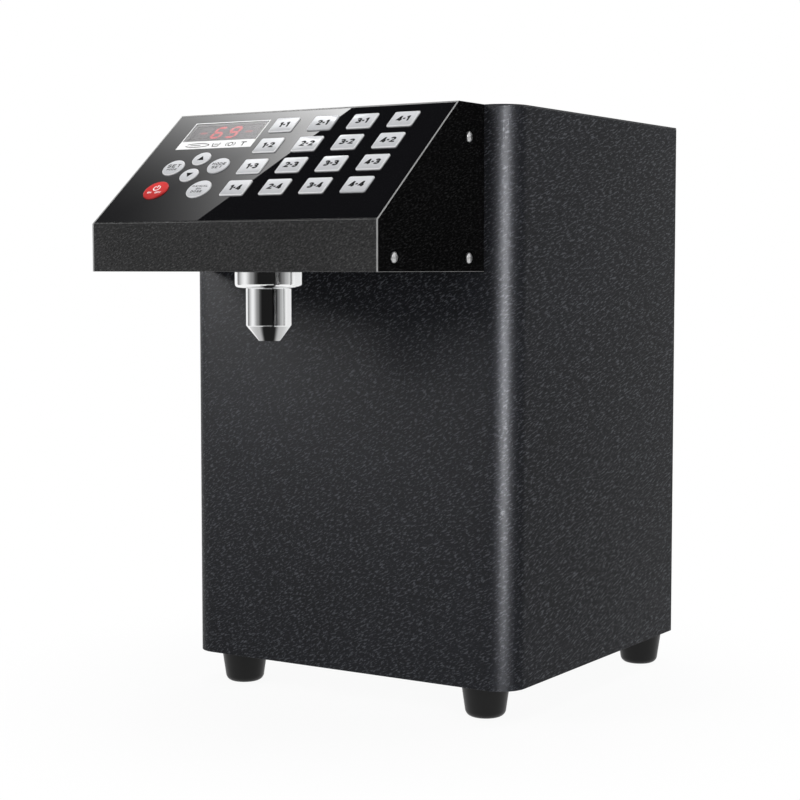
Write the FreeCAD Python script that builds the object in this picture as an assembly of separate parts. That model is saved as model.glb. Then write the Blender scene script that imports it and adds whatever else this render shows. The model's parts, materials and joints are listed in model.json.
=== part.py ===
import FreeCAD, Part
import math
import os

Vector = FreeCAD.Vector

# Fructose dispenser: a steel casing with a keypad head on its front, a syrup tank under a lift-off lid,
# and a gear pump that sends measured portions through the nozzle under the head.
# Millimetres and degrees. +Z is up, the front faces -Y, and the origin is on the floor at the middle of the
# whole machine's footprint.

# ---------------------------------------------------------------- driving sizes
# Casing
BODY_WIDTH = 282.0
BODY_DEPTH = 268.0
BODY_TOP = 430.0                # floor to the top face of the casing
SHEET = 1.2                     # steel sheet of the casing and the head
FRONT_CORNER_RADIUS = 20.0
REAR_FLANGE = 14.0              # return flange that the rear panel is screwed to
SHEET_GAP = 0.2                 # play of one folded sheet inside another
DECK_SKIRT = 14.0
BASE_FLANGE = 12.0
WINDOW_WIDTH = 150.0            # service window in the front wall, behind the head
WINDOW_RISE = 19.0              # above the head's underside
WINDOW_HEIGHT = 62.0
BASE_SLOT_COUNT = 5
BASE_SLOT_LENGTH = 70.0
BASE_SLOT_WIDTH = 4.0
BASE_SLOT_PITCH = 12.0
BASE_SLOT_X = 52.5
BASE_SLOT_Y = 125.0             # behind the front wall

# Feet
FOOT_HEIGHT = 24.0
FOOT_TOP_RADIUS = 17.5
FOOT_BOTTOM_RADIUS = 14.0
FOOT_EDGE_RADIUS = 5.5
FRONT_FOOT_INSET = (33.5, 23.5) # (x, y) from the casing's side and front
REAR_FOOT_INSET = (19.0, 20.5)
FOOT_RECESS_RADIUS = 5.5
FOOT_SEAT = 4.0                 # rubber between the screw head and the base

# Pan head screws
SCREW_RADIUS = 2.0
SCREW_LENGTH = 8.0
SCREW_HEAD_RADIUS = 3.7
SCREW_HEAD_EDGE = 0.7
SCREW_HEAD_HEIGHT = 2.2
SCREW_HEAD_CROWN = 2.2          # radius of the flat on top of the head
SCREW_HOLE_PLAY = 0.1

# Head
HEAD_WIDTH = 237.0
HEAD_REACH = 133.0              # front plate ahead of the casing
HEAD_TOP_REACH = 34.0           # top edge of the slope ahead of the casing
HEAD_HEIGHT = 114.0             # underside of the head below the casing's top
HEAD_FACE_HEIGHT = 33.0
HEM = 1.6                       # folded hem at the top of the slope
TRAY_UPSTAND = 18.0
FRAME_DROP = 30.0               # flange of the panel frame against the casing
CHEEK_SCREW_RISE = 9.2          # lower screws above the head's underside
CHEEK_SCREW_DROP = 23.4         # upper screw below the head's top
CHEEK_SCREW_REAR_OUT = 21.5     # screws ahead of the casing
CHEEK_SCREW_FRONT_OUT = 115.2
CHEEK_TAB_LENGTH = 26.0
HEAD_FIXING_X = 95.0
HEAD_FIXING_INSET = 9.0         # head fixing screws from the edges of their flanges

# Keypad, measured on the slope: u to the right from the middle, v up from the lower edge
OVERLAY = 1.0
OVERLAY_GAP = 0.2
KEY_WIDTH = 19.8
KEY_HEIGHT = 16.6
KEY_CORNER = 1.4
KEY_FIRST_U = -14.7
KEY_FIRST_V = 108.9
KEY_PITCH_U = 32.9
KEY_PITCH_V = 24.1
KEY_COLUMNS = 4
KEY_ROWS = 4
KEY_PROUD = 0.9
KEY_BEVEL = 0.35
KEY_FLANGE = 1.0                # width and thickness of the flange that holds a key in
KEY_SIDE_PLAY = 0.15
KEY_LIFT_PLAY = 0.1             # flange below the overlay
KEY_FRAME_PLAY = 0.3
KEY_TRAVEL = 0.5                # the well under a stem is at least this deep
STEM_WIDTH = 3.2
STEM_PLAY = 0.1
STEM_END_PLAY = 0.4             # below the stem when the key is pressed right down
BUTTONS = {                     # name: (u, v, radius)
    "up_button": (-65.8, 72.0, 7.3),
    "down_button": (-65.4, 53.1, 7.3),
    "set_button": (-85.1, 62.4, 8.6),
    "mode_button": (-45.5, 62.9, 8.6),
    "manual_button": (-46.5, 36.4, 9.5),
    "power_button": (-84.6, 36.4, 9.7),
}
DISPLAY_U = -64.4
DISPLAY_V = 105.2
WINDOW_LENS_WIDTH = 65.6
WINDOW_LENS_HEIGHT = 21.2
LENS_LEDGE = 2.3
MODULE_PLAY = 0.5               # round the display module, and under the lens

# Control board
BOARD_DROP = 8.0                # top of the board below the slope
BOARD_THICKNESS = 1.6
BOARD_SIDE_GAP = 13.3           # board inside the cheeks
BOARD_BOTTOM_V = 14.0
BOARD_TOP_V = 121.0
SWITCH_SIZE = 6.0
SWITCH_HEIGHT = 3.5
SWITCH_FLOOR = 0.8              # below the stem's well
STUD_RADIUS = 2.5
STUD_INSET = 5.0

# Nozzle
NOZZLE_OUT = 87.0               # axis ahead of the casing
COLLAR_RADIUS = 23.7
COLLAR_HEIGHT = 11.2
COLLAR_EDGE = 3.0
BARREL_RADIUS = 16.2
BARREL_LENGTH = 25.7
TIP_RADIUS = 7.5
TIP_LENGTH = 10.4
NOZZLE_BORE = 4.0
SPIGOT_RADIUS = 11.0
SPIGOT_RISE = 14.0
SOCKET_RADIUS = 8.0             # bore of the collar
NOZZLE_PLAY = 0.1
PLUG_LENGTH = 11.0              # barrel inside the collar
NUT_FLATS = 30.0
NUT_HEIGHT = 6.0

# Hoses and their barbs
HOSE_RADIUS = 7.0
BARB_RADIUS = 5.0
BARB_BORE = 3.0
BARB_LENGTH = 16.0
BARB_PLAY = 0.1
BARB_STEP = 0.5
BARB_RIDGES = 3
HOSE_BEND = 28.0
HOSE_SIDE = 72.0                # hoses run down this far beside the pump
HOSE_DROP = 45.0                # slant of the delivery hose behind the front wall
HOSE_END_GAP = 0.5

# Nozzle elbow
ELBOW_FLANGE_RADIUS = 10.0
ELBOW_FLANGE_HEIGHT = 3.0
ELBOW_RADIUS = 7.0
ELBOW_HEIGHT = 20.0
ELBOW_BARB_HEIGHT = 12.0

# Syrup tank, lid and shelf
TANK_WIDTH = 236.0
TANK_LENGTH = 188.0
TANK_TOP_GAP = 14.0             # tank below the casing's top
TANK_FRONT_GAP = 42.0           # tank behind the casing's front face
TANK_FLOOR = 222.0
TANK_WALL = 1.5
TANK_CORNER = 20.0
NECK_WIDTH = 178.0
NECK_LENGTH = 128.0
NECK_CORNER = 14.0
NECK_RISE = 1.0                 # rim above the deck
NECK_PLAY = 1.0
SUMP_RADIUS = 40.0
SUMP_DEPTH = 22.0
OUTLET_RADIUS = 12.0
OUTLET_BORE = 6.0
SHELF_FLANGE = 16.0
SHELF_MARGIN = 4.0
SUMP_PLAY = 2.0
LID_OVERLAP = 11.0              # lid beyond the neck
LID_RISE = 4.0                  # top of the lid above the deck
LID_FOOT_PLAY = 0.2
LID_EDGE = 1.0
SEAL_WIDTH = 4.0
SEAL_OUT = 1.2                  # seal beyond the neck
SEAL_GAP = 0.1
DISH_RADIUS = 32.0
DISH_DEPTH = 13.0
PULL_RADIUS = 3.5
PULL_DROP = 1.0                 # top of the bar below the lid's top
HEATER_WIDTH = 130.0
HEATER_HEIGHT = 70.0
HEATER_THICKNESS = 3.0
HEATER_BASE_RISE = 25.0

# Tank outlet
OUTLET_COLLAR_RADIUS = 15.0
OUTLET_COLLAR_HEIGHT = 6.0
OUTLET_BODY_RADIUS = 9.0
OUTLET_BODY_HEIGHT = 18.0

# Gear pump
TEETH = 12
MODULE = 2.0
PRESSURE_ANGLE = 28.0
BACKLASH = 0.16
DEDENDUM = 1.25
FLANK_STEPS = 4                 # points along a tooth's flank
GEAR_WIDTH = 14.0
CENTRE_PLAY = 0.05
GEAR_TIP_PLAY = 0.1
GEAR_END_PLAY = 0.08
PUMP_WALL = 8.0
PUMP_BACK = 6.0
COVER_THICKNESS = 5.0
PUMP_FRONT_GAP = 8.0            # cover behind the inside of the front wall
PUMP_AXIS_HEIGHT = 100.0        # middle between the gears
SHAFT_RADIUS = 4.0
SHAFT_PLAY = 0.05
JOURNAL = 4.0                   # shaft ends inside cover and back wall
JOURNAL_END_PLAY = 0.2
PUMP_SCREW_INSET = 4.0
PUMP_SCREW_ANGLES = (30.0, 90.0, 150.0)
GEAR_BORE_PLAY = 0.02
PORT_BORE = 3.0

# Motor and bracket
BRACKET_THICKNESS = 2.0
BRACKET_WIDTH = 64.0
BRACKET_FOOT = 60.0
BRACKET_TOP_MARGIN = 30.0
GUSSET = 30.0
PILOT_PLAY = 0.1
PILOT_RADIUS = 15.0
GEARBOX_RADIUS = 25.0
GEARBOX_LENGTH = 26.0
MOTOR_RADIUS = 22.5
MOTOR_LENGTH = 62.0
MOTOR_SHAFT_DEPTH = 20.0
MOTOR_CAP_RADIUS = 9.0
MOTOR_CAP_LENGTH = 4.0

# Power supply
SUPPLY_WIDTH = 98.0
SUPPLY_LENGTH = 110.0
SUPPLY_HEIGHT = 42.0
SUPPLY_INSET_X = 12.0
SUPPLY_INSET_Y = 34.0
TERMINAL_LENGTH = 16.0
TERMINAL_STEP = 22.0

# Rear panel and its fittings
LOUVRE_DEPTH = 5.0
LOUVRE_LENGTH = 72.0
LOUVRE_WALL = 1.0
LOUVRE_ROWS = 8
LOUVRE_PITCH = 12.0
LOUVRE_BOTTOM = 150.0
LOUVRE_X = 50.0
REAR_SCREW_INSET = 7.0
REAR_SCREW_ROWS = 3
REAR_SCREW_MARGIN = 22.0
INLET_X = -90.0
INLET_Z = 70.0
INLET_FLANGE_WIDTH = 38.0
INLET_FLANGE_HEIGHT = 28.0
FLANGE_PROUD = 2.0
INLET_BODY_WIDTH = 32.0
INLET_BODY_HEIGHT = 23.0
INLET_BODY_DEPTH = 24.0
INLET_RECESS_WIDTH = 24.8
INLET_RECESS_HEIGHT = 16.8
INLET_RECESS_DEPTH = 20.0
INLET_CHAMFER = 5.0
PIN_LENGTH = 13.0
PIN_WIDTH = 2.0
PIN_HEIGHT = 4.0
PIN_SPACING = 7.0
PIN_DROP = 2.0
ROCKER_X = -90.0
ROCKER_Z = 110.0
ROCKER_FRAME_WIDTH = 21.0
ROCKER_FRAME_HEIGHT = 30.0
ROCKER_WIDTH = 13.0
ROCKER_HEIGHT = 22.0
ROCKER_BODY_DEPTH = 20.0
ROCKER_PLAY = 0.4
ROCKER_THROW = 20.0             # degrees from off to on
ROCKER_PIVOT_DEPTH = 5.0        # pivot behind the frame's face
ROCKER_END_RISE = 5.0           # rocker's face ahead of the pivot, at its ends and in its middle
ROCKER_MIDDLE_RISE = 3.4
ROCKER_BACK = 4.0
ROCKER_WALL = 2.0
ROCKER_PIN_RADIUS = 1.5
ROCKER_PIN_LENGTH = 1.4
ROCKER_PIN_PLAY = 0.1
PANEL_HOLE_PLAY = 0.3

TOUCHING = 1e-6                 # points closer than this are one point

# ---------------------------------------------------------------- derived places
HEAD_FRONT = -(HEAD_REACH + BODY_DEPTH + LOUVRE_DEPTH) / 2
BODY_FRONT = HEAD_FRONT + HEAD_REACH
BODY_REAR = BODY_FRONT + BODY_DEPTH
HALF_BODY = BODY_WIDTH / 2
HALF_HEAD = HEAD_WIDTH / 2
CHEEK_IN = HALF_HEAD - SHEET
WRAP_TOP = BODY_TOP - SHEET
FLOOR_TOP = FOOT_HEIGHT + SHEET
PANEL_FACE = BODY_REAR - SHEET          # where the side walls end and the rear panel begins
INSIDE_REAR = PANEL_FACE - SHEET        # inner face of the rear return flanges

HEAD_BOTTOM = BODY_TOP - HEAD_HEIGHT
WINDOW_BOTTOM = HEAD_BOTTOM + WINDOW_RISE
BOARD_WIDTH = 2 * (CHEEK_IN - BOARD_SIDE_GAP)
SLOPE_START = HEAD_BOTTOM + HEAD_FACE_HEIGHT
SLOPE_RUN = HEAD_REACH - HEAD_TOP_REACH
SLOPE_RISE = BODY_TOP - SLOPE_START
SLOPE_LENGTH = math.hypot(SLOPE_RUN, SLOPE_RISE)
SLOPE_ANGLE = math.degrees(math.atan2(SLOPE_RISE, SLOPE_RUN))
SLOPE_V0 = SHEET / math.cos(math.radians(SLOPE_ANGLE))   # slanted top edge of the front plate
FRAME_FACE = -OVERLAY                   # heights along the slope's normal
FRAME_BACK = FRAME_FACE - SHEET
KEY_FLANGE_TOP = FRAME_FACE - KEY_LIFT_PLAY
KEY_FLANGE_BACK = KEY_FLANGE_TOP - KEY_FLANGE
SWITCH_TOP = SWITCH_HEIGHT - BOARD_DROP
STEM_TIP = SWITCH_FLOOR - BOARD_DROP + KEY_TRAVEL + STEM_END_PLAY

NOZZLE_Y = BODY_FRONT - NOZZLE_OUT
COLLAR_BOTTOM = HEAD_BOTTOM - COLLAR_HEIGHT
BARREL_BOTTOM = COLLAR_BOTTOM - BARREL_LENGTH
SPIGOT_TOP = HEAD_BOTTOM + SPIGOT_RISE
ELBOW_BARB_Z = SPIGOT_TOP + ELBOW_FLANGE_HEIGHT + ELBOW_BARB_HEIGHT

TANK_FRONT = BODY_FRONT + TANK_FRONT_GAP
TANK_Y = TANK_FRONT + TANK_LENGTH / 2
TANK_TOP = BODY_TOP - TANK_TOP_GAP
NECK_TOP = BODY_TOP + NECK_RISE
SUMP_BOTTOM = TANK_FLOOR - SUMP_DEPTH
OUTLET_COLLAR_BOTTOM = SUMP_BOTTOM - OUTLET_COLLAR_HEIGHT
OUTLET_BARB_Z = OUTLET_COLLAR_BOTTOM - OUTLET_BODY_HEIGHT / 2
LID_TOP = BODY_TOP + LID_RISE
LID_UNDER = LID_TOP - SHEET
PULL_Z = LID_TOP - PULL_DROP - PULL_RADIUS

PITCH_RADIUS = MODULE * TEETH / 2
GEAR_RADIUS = PITCH_RADIUS + MODULE
CENTRE_DISTANCE = 2 * PITCH_RADIUS + CENTRE_PLAY
CAVITY_RADIUS = GEAR_RADIUS + GEAR_TIP_PLAY
PUMP_RADIUS = CAVITY_RADIUS + PUMP_WALL
DRIVE_Z = PUMP_AXIS_HEIGHT + CENTRE_DISTANCE / 2
DRIVEN_Z = PUMP_AXIS_HEIGHT - CENTRE_DISTANCE / 2
COVER_FRONT = BODY_FRONT + SHEET + PUMP_FRONT_GAP
CAVITY_FRONT = COVER_FRONT + COVER_THICKNESS
CAVITY_DEPTH = GEAR_WIDTH + 2 * GEAR_END_PLAY
CAVITY_REAR = CAVITY_FRONT + CAVITY_DEPTH
PUMP_Y = CAVITY_FRONT + CAVITY_DEPTH / 2
PUMP_REAR = CAVITY_REAR + PUMP_BACK
MOTOR_FRONT = PUMP_REAR + BRACKET_THICKNESS
SHAFT_BORE = SHAFT_RADIUS + SHAFT_PLAY

ROCKER_PIVOT_Y = BODY_REAR + FLANGE_PROUD - ROCKER_PIVOT_DEPTH
SCREW_HOLE = SCREW_RADIUS + SCREW_HOLE_PLAY
CHEEK_SCREW_LOW_Z = HEAD_BOTTOM + CHEEK_SCREW_RISE
CHEEK_SCREW_TOP_Z = BODY_TOP - CHEEK_SCREW_DROP
CHEEK_SCREWS = (                        # (y, z) on each cheek
    (BODY_FRONT - CHEEK_SCREW_REAR_OUT, CHEEK_SCREW_TOP_Z),
    (BODY_FRONT - CHEEK_SCREW_REAR_OUT, CHEEK_SCREW_LOW_Z),
    (BODY_FRONT - CHEEK_SCREW_FRONT_OUT, CHEEK_SCREW_LOW_Z),
)
TRAY_FIXING_Z = HEAD_BOTTOM + HEAD_FIXING_INSET
FRAME_FIXING_Z = BODY_TOP - FRAME_DROP + HEAD_FIXING_INSET


# ---------------------------------------------------------------- shared shapes
def box(x0, x1, y0, y1, z0, z1):
    return Part.makeBox(x1 - x0, y1 - y0, z1 - z0, Vector(x0, y0, z0))


def cylinder(radius, length, base, axis):
    return Part.makeCylinder(radius, length, Vector(*base), axis)


def polygon_face(points):
    return Part.Face(Part.makePolygon(points + points[:1]))


def side_profile(points, x0, x1):
    """Prism between x0 and x1 of a closed outline of (y, z) points."""
    face = polygon_face([Vector(x0, y, z) for y, z in points])
    return face.extrude(Vector(x1 - x0, 0, 0))


def turned(points):
    """Solid of revolution about Z of a closed outline of (radius, z) points."""
    face = polygon_face([Vector(radius, 0, z) for radius, z in points])
    return face.revolve(Vector(), Vector(0, 0, 1), 360)


def disc(radius):
    return Part.Face(Part.Wire(Part.makeCircle(radius)))


def rounded_rect(width, height, radius):
    """Flat rounded rectangle, centred on the origin."""
    x, y = width / 2, height / 2
    bend = radius * math.sqrt(0.5)
    edges = []
    for turn, (a, b) in enumerate(((x, y), (y, x), (x, y), (y, x))):
        corner = Vector(a - radius, b - radius, 0)
        start, end = Vector(a, radius - b, 0), Vector(a, b - radius, 0)
        arc = Part.Arc(end, corner + Vector(bend, bend, 0), Vector(a - radius, b, 0))
        side = [] if start.isEqual(end, TOUCHING) else [Part.makeLine(start, end)]
        for edge in side + [arc.toShape()]:
            edge.rotate(Vector(), Vector(0, 0, 1), 90 * turn)
            edges.append(edge)
    return Part.Face(Part.Wire(edges))


def raised(face, z0, z1):
    """Prism of a flat face in the XY plane, from z0 to z1."""
    return face.translated(Vector(0, 0, z0)).extrude(Vector(0, 0, z1 - z0))


def edges_at(shape, z):
    return [e for e in shape.Edges if all(abs(v.Z - z) < TOUCHING for v in e.Vertexes)]


def on_slope(shape, u=0.0, v=0.0):
    """Move a shape from (u, v, normal) axes onto the head's slope."""
    shape = shape.translated(Vector(u, v, 0))
    shape.rotate(Vector(), Vector(1, 0, 0), SLOPE_ANGLE)
    return shape.translated(Vector(0, HEAD_FRONT, SLOPE_START))


def facing(shape, axis, base):
    """Turn a shape from +Z to an axis and set its origin on a point."""
    rotation = FreeCAD.Rotation(Vector(0, 0, 1), axis)
    return shape.transformGeometry(FreeCAD.Placement(Vector(*base), rotation).toMatrix())


def both_sides(shape):
    return [shape, shape.mirror(Vector(), Vector(1, 0, 0))]


def body_plan(inset, rear):
    """Plan of the casing inside its outline by inset: rounded in front, square at the rear."""
    x = HALF_BODY - inset
    y = BODY_FRONT + inset
    radius = FRONT_CORNER_RADIUS - inset
    bend = radius * (1 - math.sqrt(0.5))
    left = Part.Arc(Vector(-x, y + radius, 0), Vector(bend - x, y + bend, 0), Vector(radius - x, y, 0))
    right = Part.Arc(Vector(x - radius, y, 0), Vector(x - bend, y + bend, 0), Vector(x, y + radius, 0))
    edges = [
        Part.makeLine(Vector(-x, rear, 0), Vector(-x, y + radius, 0)), left.toShape(),
        Part.makeLine(Vector(radius - x, y, 0), Vector(x - radius, y, 0)), right.toShape(),
        Part.makeLine(Vector(x, y + radius, 0), Vector(x, rear, 0)),
        Part.makeLine(Vector(x, rear, 0), Vector(-x, rear, 0)),
    ]
    return Part.Face(Part.Wire(edges))


def folded_skirt(z0, z1):
    """Upright flange of a deck or floor plate, just inside the casing's walls."""
    inset = SHEET + SHEET_GAP
    rear = INSIDE_REAR - SHEET_GAP
    outside = raised(body_plan(inset, rear), z0, z1)
    return outside.cut(raised(body_plan(inset + SHEET, rear - SHEET), z0, z1))


# ---------------------------------------------------------------- casing
def head_fixings():
    """Places of the four screws that hold the head to the front wall."""
    return [(x, z) for x in (-HEAD_FIXING_X, HEAD_FIXING_X) for z in (TRAY_FIXING_Z, FRAME_FIXING_Z)]


def rear_screw_places():
    first = FOOT_HEIGHT + REAR_SCREW_MARGIN
    pitch = (WRAP_TOP - REAR_SCREW_MARGIN - first) / (REAR_SCREW_ROWS - 1)
    x = HALF_BODY - SHEET - REAR_SCREW_INSET
    return [(side * x, first + row * pitch) for side in (-1, 1) for row in range(REAR_SCREW_ROWS)]


def foot_places():
    front = (HALF_BODY - FRONT_FOOT_INSET[0], BODY_FRONT + FRONT_FOOT_INSET[1])
    rear = (HALF_BODY - REAR_FOOT_INSET[0], BODY_REAR - REAR_FOOT_INSET[1])
    return [(side * x, y) for side in (-1, 1) for x, y in (front, rear)]


def body_wrap():
    """Front and side walls in one bent sheet, with return flanges at the rear."""
    wall = raised(body_plan(0, PANEL_FACE), FOOT_HEIGHT, WRAP_TOP)
    wall = wall.cut(raised(body_plan(SHEET, BODY_REAR), FOOT_HEIGHT, WRAP_TOP))
    flange = box(HALF_BODY - REAR_FLANGE, HALF_BODY - SHEET / 2, INSIDE_REAR, PANEL_FACE,
                 FOOT_HEIGHT, WRAP_TOP)
    wall = wall.fuse(both_sides(flange)).removeSplitter()
    window = box(-WINDOW_WIDTH / 2, WINDOW_WIDTH / 2, BODY_FRONT - SHEET, BODY_FRONT + 2 * SHEET,
                 WINDOW_BOTTOM, WINDOW_BOTTOM + WINDOW_HEIGHT)
    holes = [cylinder(SCREW_HOLE, 3 * SHEET, (x, BODY_FRONT - SHEET, z), Vector(0, 1, 0))
             for x, z in head_fixings()]
    holes += [cylinder(SCREW_HOLE, 3 * SHEET, (x, INSIDE_REAR - SHEET, z), Vector(0, 1, 0))
              for x, z in rear_screw_places()]
    return wall.cut([window] + holes)


def top_deck():
    """Top plate with a folded skirt and the opening for the tank's neck."""
    plate = raised(body_plan(0, BODY_REAR), WRAP_TOP, BODY_TOP)
    skirt = folded_skirt(WRAP_TOP - DECK_SKIRT, WRAP_TOP + SHEET / 2)
    opening = raised(rounded_rect(NECK_WIDTH + 2 * NECK_PLAY, NECK_LENGTH + 2 * NECK_PLAY,
                                  NECK_CORNER + NECK_PLAY), WRAP_TOP - SHEET, BODY_TOP + SHEET)
    return plate.fuse(skirt).cut(opening.translated(Vector(0, TANK_Y, 0)))


def base_plate():
    """Floor tray with upturned flanges, cooling slots and the foot screws' holes."""
    plate = raised(body_plan(SHEET + SHEET_GAP, INSIDE_REAR - SHEET_GAP), FOOT_HEIGHT, FLOOR_TOP)
    tray = plate.fuse(folded_skirt(FOOT_HEIGHT, FOOT_HEIGHT + BASE_FLANGE))
    cuts = [cylinder(SCREW_HOLE, 3 * SHEET, (x, y, FOOT_HEIGHT - SHEET), Vector(0, 0, 1))
            for x, y in foot_places()]
    slot = raised(rounded_rect(BASE_SLOT_LENGTH, BASE_SLOT_WIDTH, BASE_SLOT_WIDTH / 2),
                  FOOT_HEIGHT - SHEET, FLOOR_TOP + SHEET)
    for index in range(BASE_SLOT_COUNT):
        y = BODY_FRONT + BASE_SLOT_Y + index * BASE_SLOT_PITCH
        cuts += [slot.translated(Vector(side * BASE_SLOT_X, y, 0)) for side in (-1, 1)]
    return tray.cut(cuts)


def louvre():
    """Hood of one louvre, open below, with its left end at the origin and its top at z = 0."""
    def quarter(radius, x0, x1):
        drum = cylinder(radius, x1 - x0, (x0, 0, -LOUVRE_DEPTH), Vector(1, 0, 0))
        return drum.common(box(x0, x1, 0, radius, -LOUVRE_DEPTH, radius - LOUVRE_DEPTH))
    outside = quarter(LOUVRE_DEPTH, 0, LOUVRE_LENGTH)
    return outside.cut(quarter(LOUVRE_DEPTH - LOUVRE_WALL, LOUVRE_WALL, LOUVRE_LENGTH - LOUVRE_WALL))


def louvre_places():
    return [(side * LOUVRE_X - LOUVRE_LENGTH / 2, LOUVRE_BOTTOM + LOUVRE_DEPTH + row * LOUVRE_PITCH)
            for side in (-1, 1) for row in range(LOUVRE_ROWS)]


def panel_hole(width, height, x, z):
    return box(x - width / 2 - PANEL_HOLE_PLAY, x + width / 2 + PANEL_HOLE_PLAY,
               PANEL_FACE - SHEET, BODY_REAR + SHEET,
               z - height / 2 - PANEL_HOLE_PLAY, z + height / 2 + PANEL_HOLE_PLAY)


def rear_panel():
    """Flat rear panel with two columns of louvres and the holes for the inlet and the switch."""
    plate = box(-HALF_BODY, HALF_BODY, PANEL_FACE, BODY_REAR, FOOT_HEIGHT, WRAP_TOP)
    hoods = []
    cuts = []
    for x, z in louvre_places():
        hoods.append(louvre().translated(Vector(x, BODY_REAR, z)))
        cuts.append(box(x + LOUVRE_WALL, x + LOUVRE_LENGTH - LOUVRE_WALL, PANEL_FACE - SHEET, BODY_REAR,
                        z - LOUVRE_DEPTH, z - LOUVRE_WALL))
    cuts += [cylinder(SCREW_HOLE, 3 * SHEET, (x, PANEL_FACE - SHEET, z), Vector(0, 1, 0))
             for x, z in rear_screw_places()]
    cuts.append(panel_hole(INLET_BODY_WIDTH, INLET_BODY_HEIGHT, INLET_X, INLET_Z))
    cuts.append(panel_hole(rocker_body_width(), rocker_body_height(), ROCKER_X, ROCKER_Z))
    return plate.cut(cuts).fuse(hoods)


def rubber_feet():
    """Four tapered rubber bumpers, each with a well for its screw."""
    foot = turned([(0, 0), (FOOT_BOTTOM_RADIUS, 0), (FOOT_TOP_RADIUS, FOOT_HEIGHT), (0, FOOT_HEIGHT)])
    foot = foot.makeFillet(FOOT_EDGE_RADIUS, edges_at(foot, 0)[:1])
    up = Vector(0, 0, 1)
    well = cylinder(FOOT_RECESS_RADIUS, FOOT_HEIGHT - FOOT_SEAT, (0, 0, 0), up)
    foot = foot.cut([well, cylinder(SCREW_HOLE, FOOT_HEIGHT, (0, 0, 0), up)])
    return Part.makeCompound([foot.translated(Vector(x, y, 0)) for x, y in foot_places()])


def pan_head_screw():
    """One screw along Z with the underside of its bevelled head at z = 0."""
    return turned([(0, -SCREW_LENGTH), (SCREW_RADIUS, -SCREW_LENGTH), (SCREW_RADIUS, 0),
                   (SCREW_HEAD_RADIUS, 0), (SCREW_HEAD_RADIUS, SCREW_HEAD_EDGE),
                   (SCREW_HEAD_CROWN, SCREW_HEAD_HEIGHT), (0, SCREW_HEAD_HEIGHT)])


def pump_screw_places():
    """(x, z) of the six screws round the pump cover, three round each gear."""
    reach = PUMP_RADIUS - PUMP_SCREW_INSET
    places = []
    for angle in PUMP_SCREW_ANGLES:
        x = reach * math.cos(math.radians(angle))
        z = reach * math.sin(math.radians(angle))
        places += [(x, DRIVE_Z + z), (x, DRIVEN_Z - z)]
    return places


def pan_head_screws():
    """All the screws of the casing, head, feet and pump cover."""
    seats = []
    for side in (-1, 1):
        seats += [(Vector(side, 0, 0), (side * HALF_HEAD, y, z)) for y, z in CHEEK_SCREWS]
    seats += [(Vector(0, 1, 0), (x, BODY_REAR, z)) for x, z in rear_screw_places()]
    seats += [(Vector(0, -1, 0), (x, BODY_FRONT - SHEET, z)) for x, z in head_fixings()]
    seats += [(Vector(0, -1, 0), (x, COVER_FRONT, z)) for x, z in pump_screw_places()]
    seats += [(Vector(0, 0, -1), (x, y, FOOT_HEIGHT - FOOT_SEAT)) for x, y in foot_places()]
    screw = pan_head_screw()
    return Part.makeCompound([facing(screw, axis, base) for axis, base in seats])


# ---------------------------------------------------------------- head
def slope_point(v, normal):
    """(y, z) of a point on the slope at v, at a height along its normal."""
    cos, sin = math.cos(math.radians(SLOPE_ANGLE)), math.sin(math.radians(SLOPE_ANGLE))
    return HEAD_FRONT + v * cos - normal * sin, SLOPE_START + v * sin + normal * cos


def slope_point_below_top(normal):
    """(y, z) where a line at this height along the normal passes under the top strip."""
    cos, sin = math.cos(math.radians(SLOPE_ANGLE)), math.sin(math.radians(SLOPE_ANGLE))
    return slope_point((WRAP_TOP - SLOPE_START - normal * cos) / sin, normal)


def head_tray():
    """Front plate and bottom shelf in one folded sheet, with flanges for the cheeks and the casing."""
    shelf_top = HEAD_BOTTOM + SHEET
    upstand_top = HEAD_BOTTOM + TRAY_UPSTAND
    outline = [(HEAD_FRONT, HEAD_BOTTOM), (HEAD_FRONT, SLOPE_START), slope_point(SLOPE_V0, 0),
               (HEAD_FRONT + SHEET, shelf_top), (BODY_FRONT - SHEET, shelf_top),
               (BODY_FRONT - SHEET, upstand_top), (BODY_FRONT, upstand_top), (BODY_FRONT, HEAD_BOTTOM)]
    tray = side_profile(outline, -CHEEK_IN, CHEEK_IN)
    flange = box(CHEEK_IN - SHEET, CHEEK_IN, HEAD_FRONT + SHEET, BODY_FRONT, HEAD_BOTTOM, upstand_top)
    tray = tray.fuse(both_sides(flange)).removeSplitter()
    up, back = Vector(0, 0, 1), Vector(0, 1, 0)
    cuts = [cylinder(SPIGOT_RADIUS + NOZZLE_PLAY, 3 * SHEET, (0, NOZZLE_Y, HEAD_BOTTOM - SHEET), up)]
    cuts += [cylinder(SCREW_HOLE, 3 * SHEET, (x, BODY_FRONT - 2 * SHEET, z), back)
             for x, z in head_fixings() if z == TRAY_FIXING_Z]
    cuts += [cylinder(SCREW_HOLE, HEAD_WIDTH, (-HALF_HEAD, y, z), Vector(1, 0, 0))
             for y, z in CHEEK_SCREWS if z == CHEEK_SCREW_LOW_Z]
    return tray.cut(cuts)


def key_outline(grow):
    return rounded_rect(KEY_WIDTH + 2 * grow, KEY_HEIGHT + 2 * grow, KEY_CORNER + grow)


def keypad():
    """Every key and button: name -> (u, v, outline grown by an amount)."""
    places = {}
    for column in range(KEY_COLUMNS):
        for row in range(KEY_ROWS):
            name = "portion_key_%d_%d" % (column + 1, row + 1)
            places[name] = (KEY_FIRST_U + column * KEY_PITCH_U, KEY_FIRST_V - row * KEY_PITCH_V, key_outline)
    for name, (u, v, radius) in BUTTONS.items():
        places[name] = (u, v, lambda grow, radius=radius: disc(radius + grow))
    return places


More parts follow.
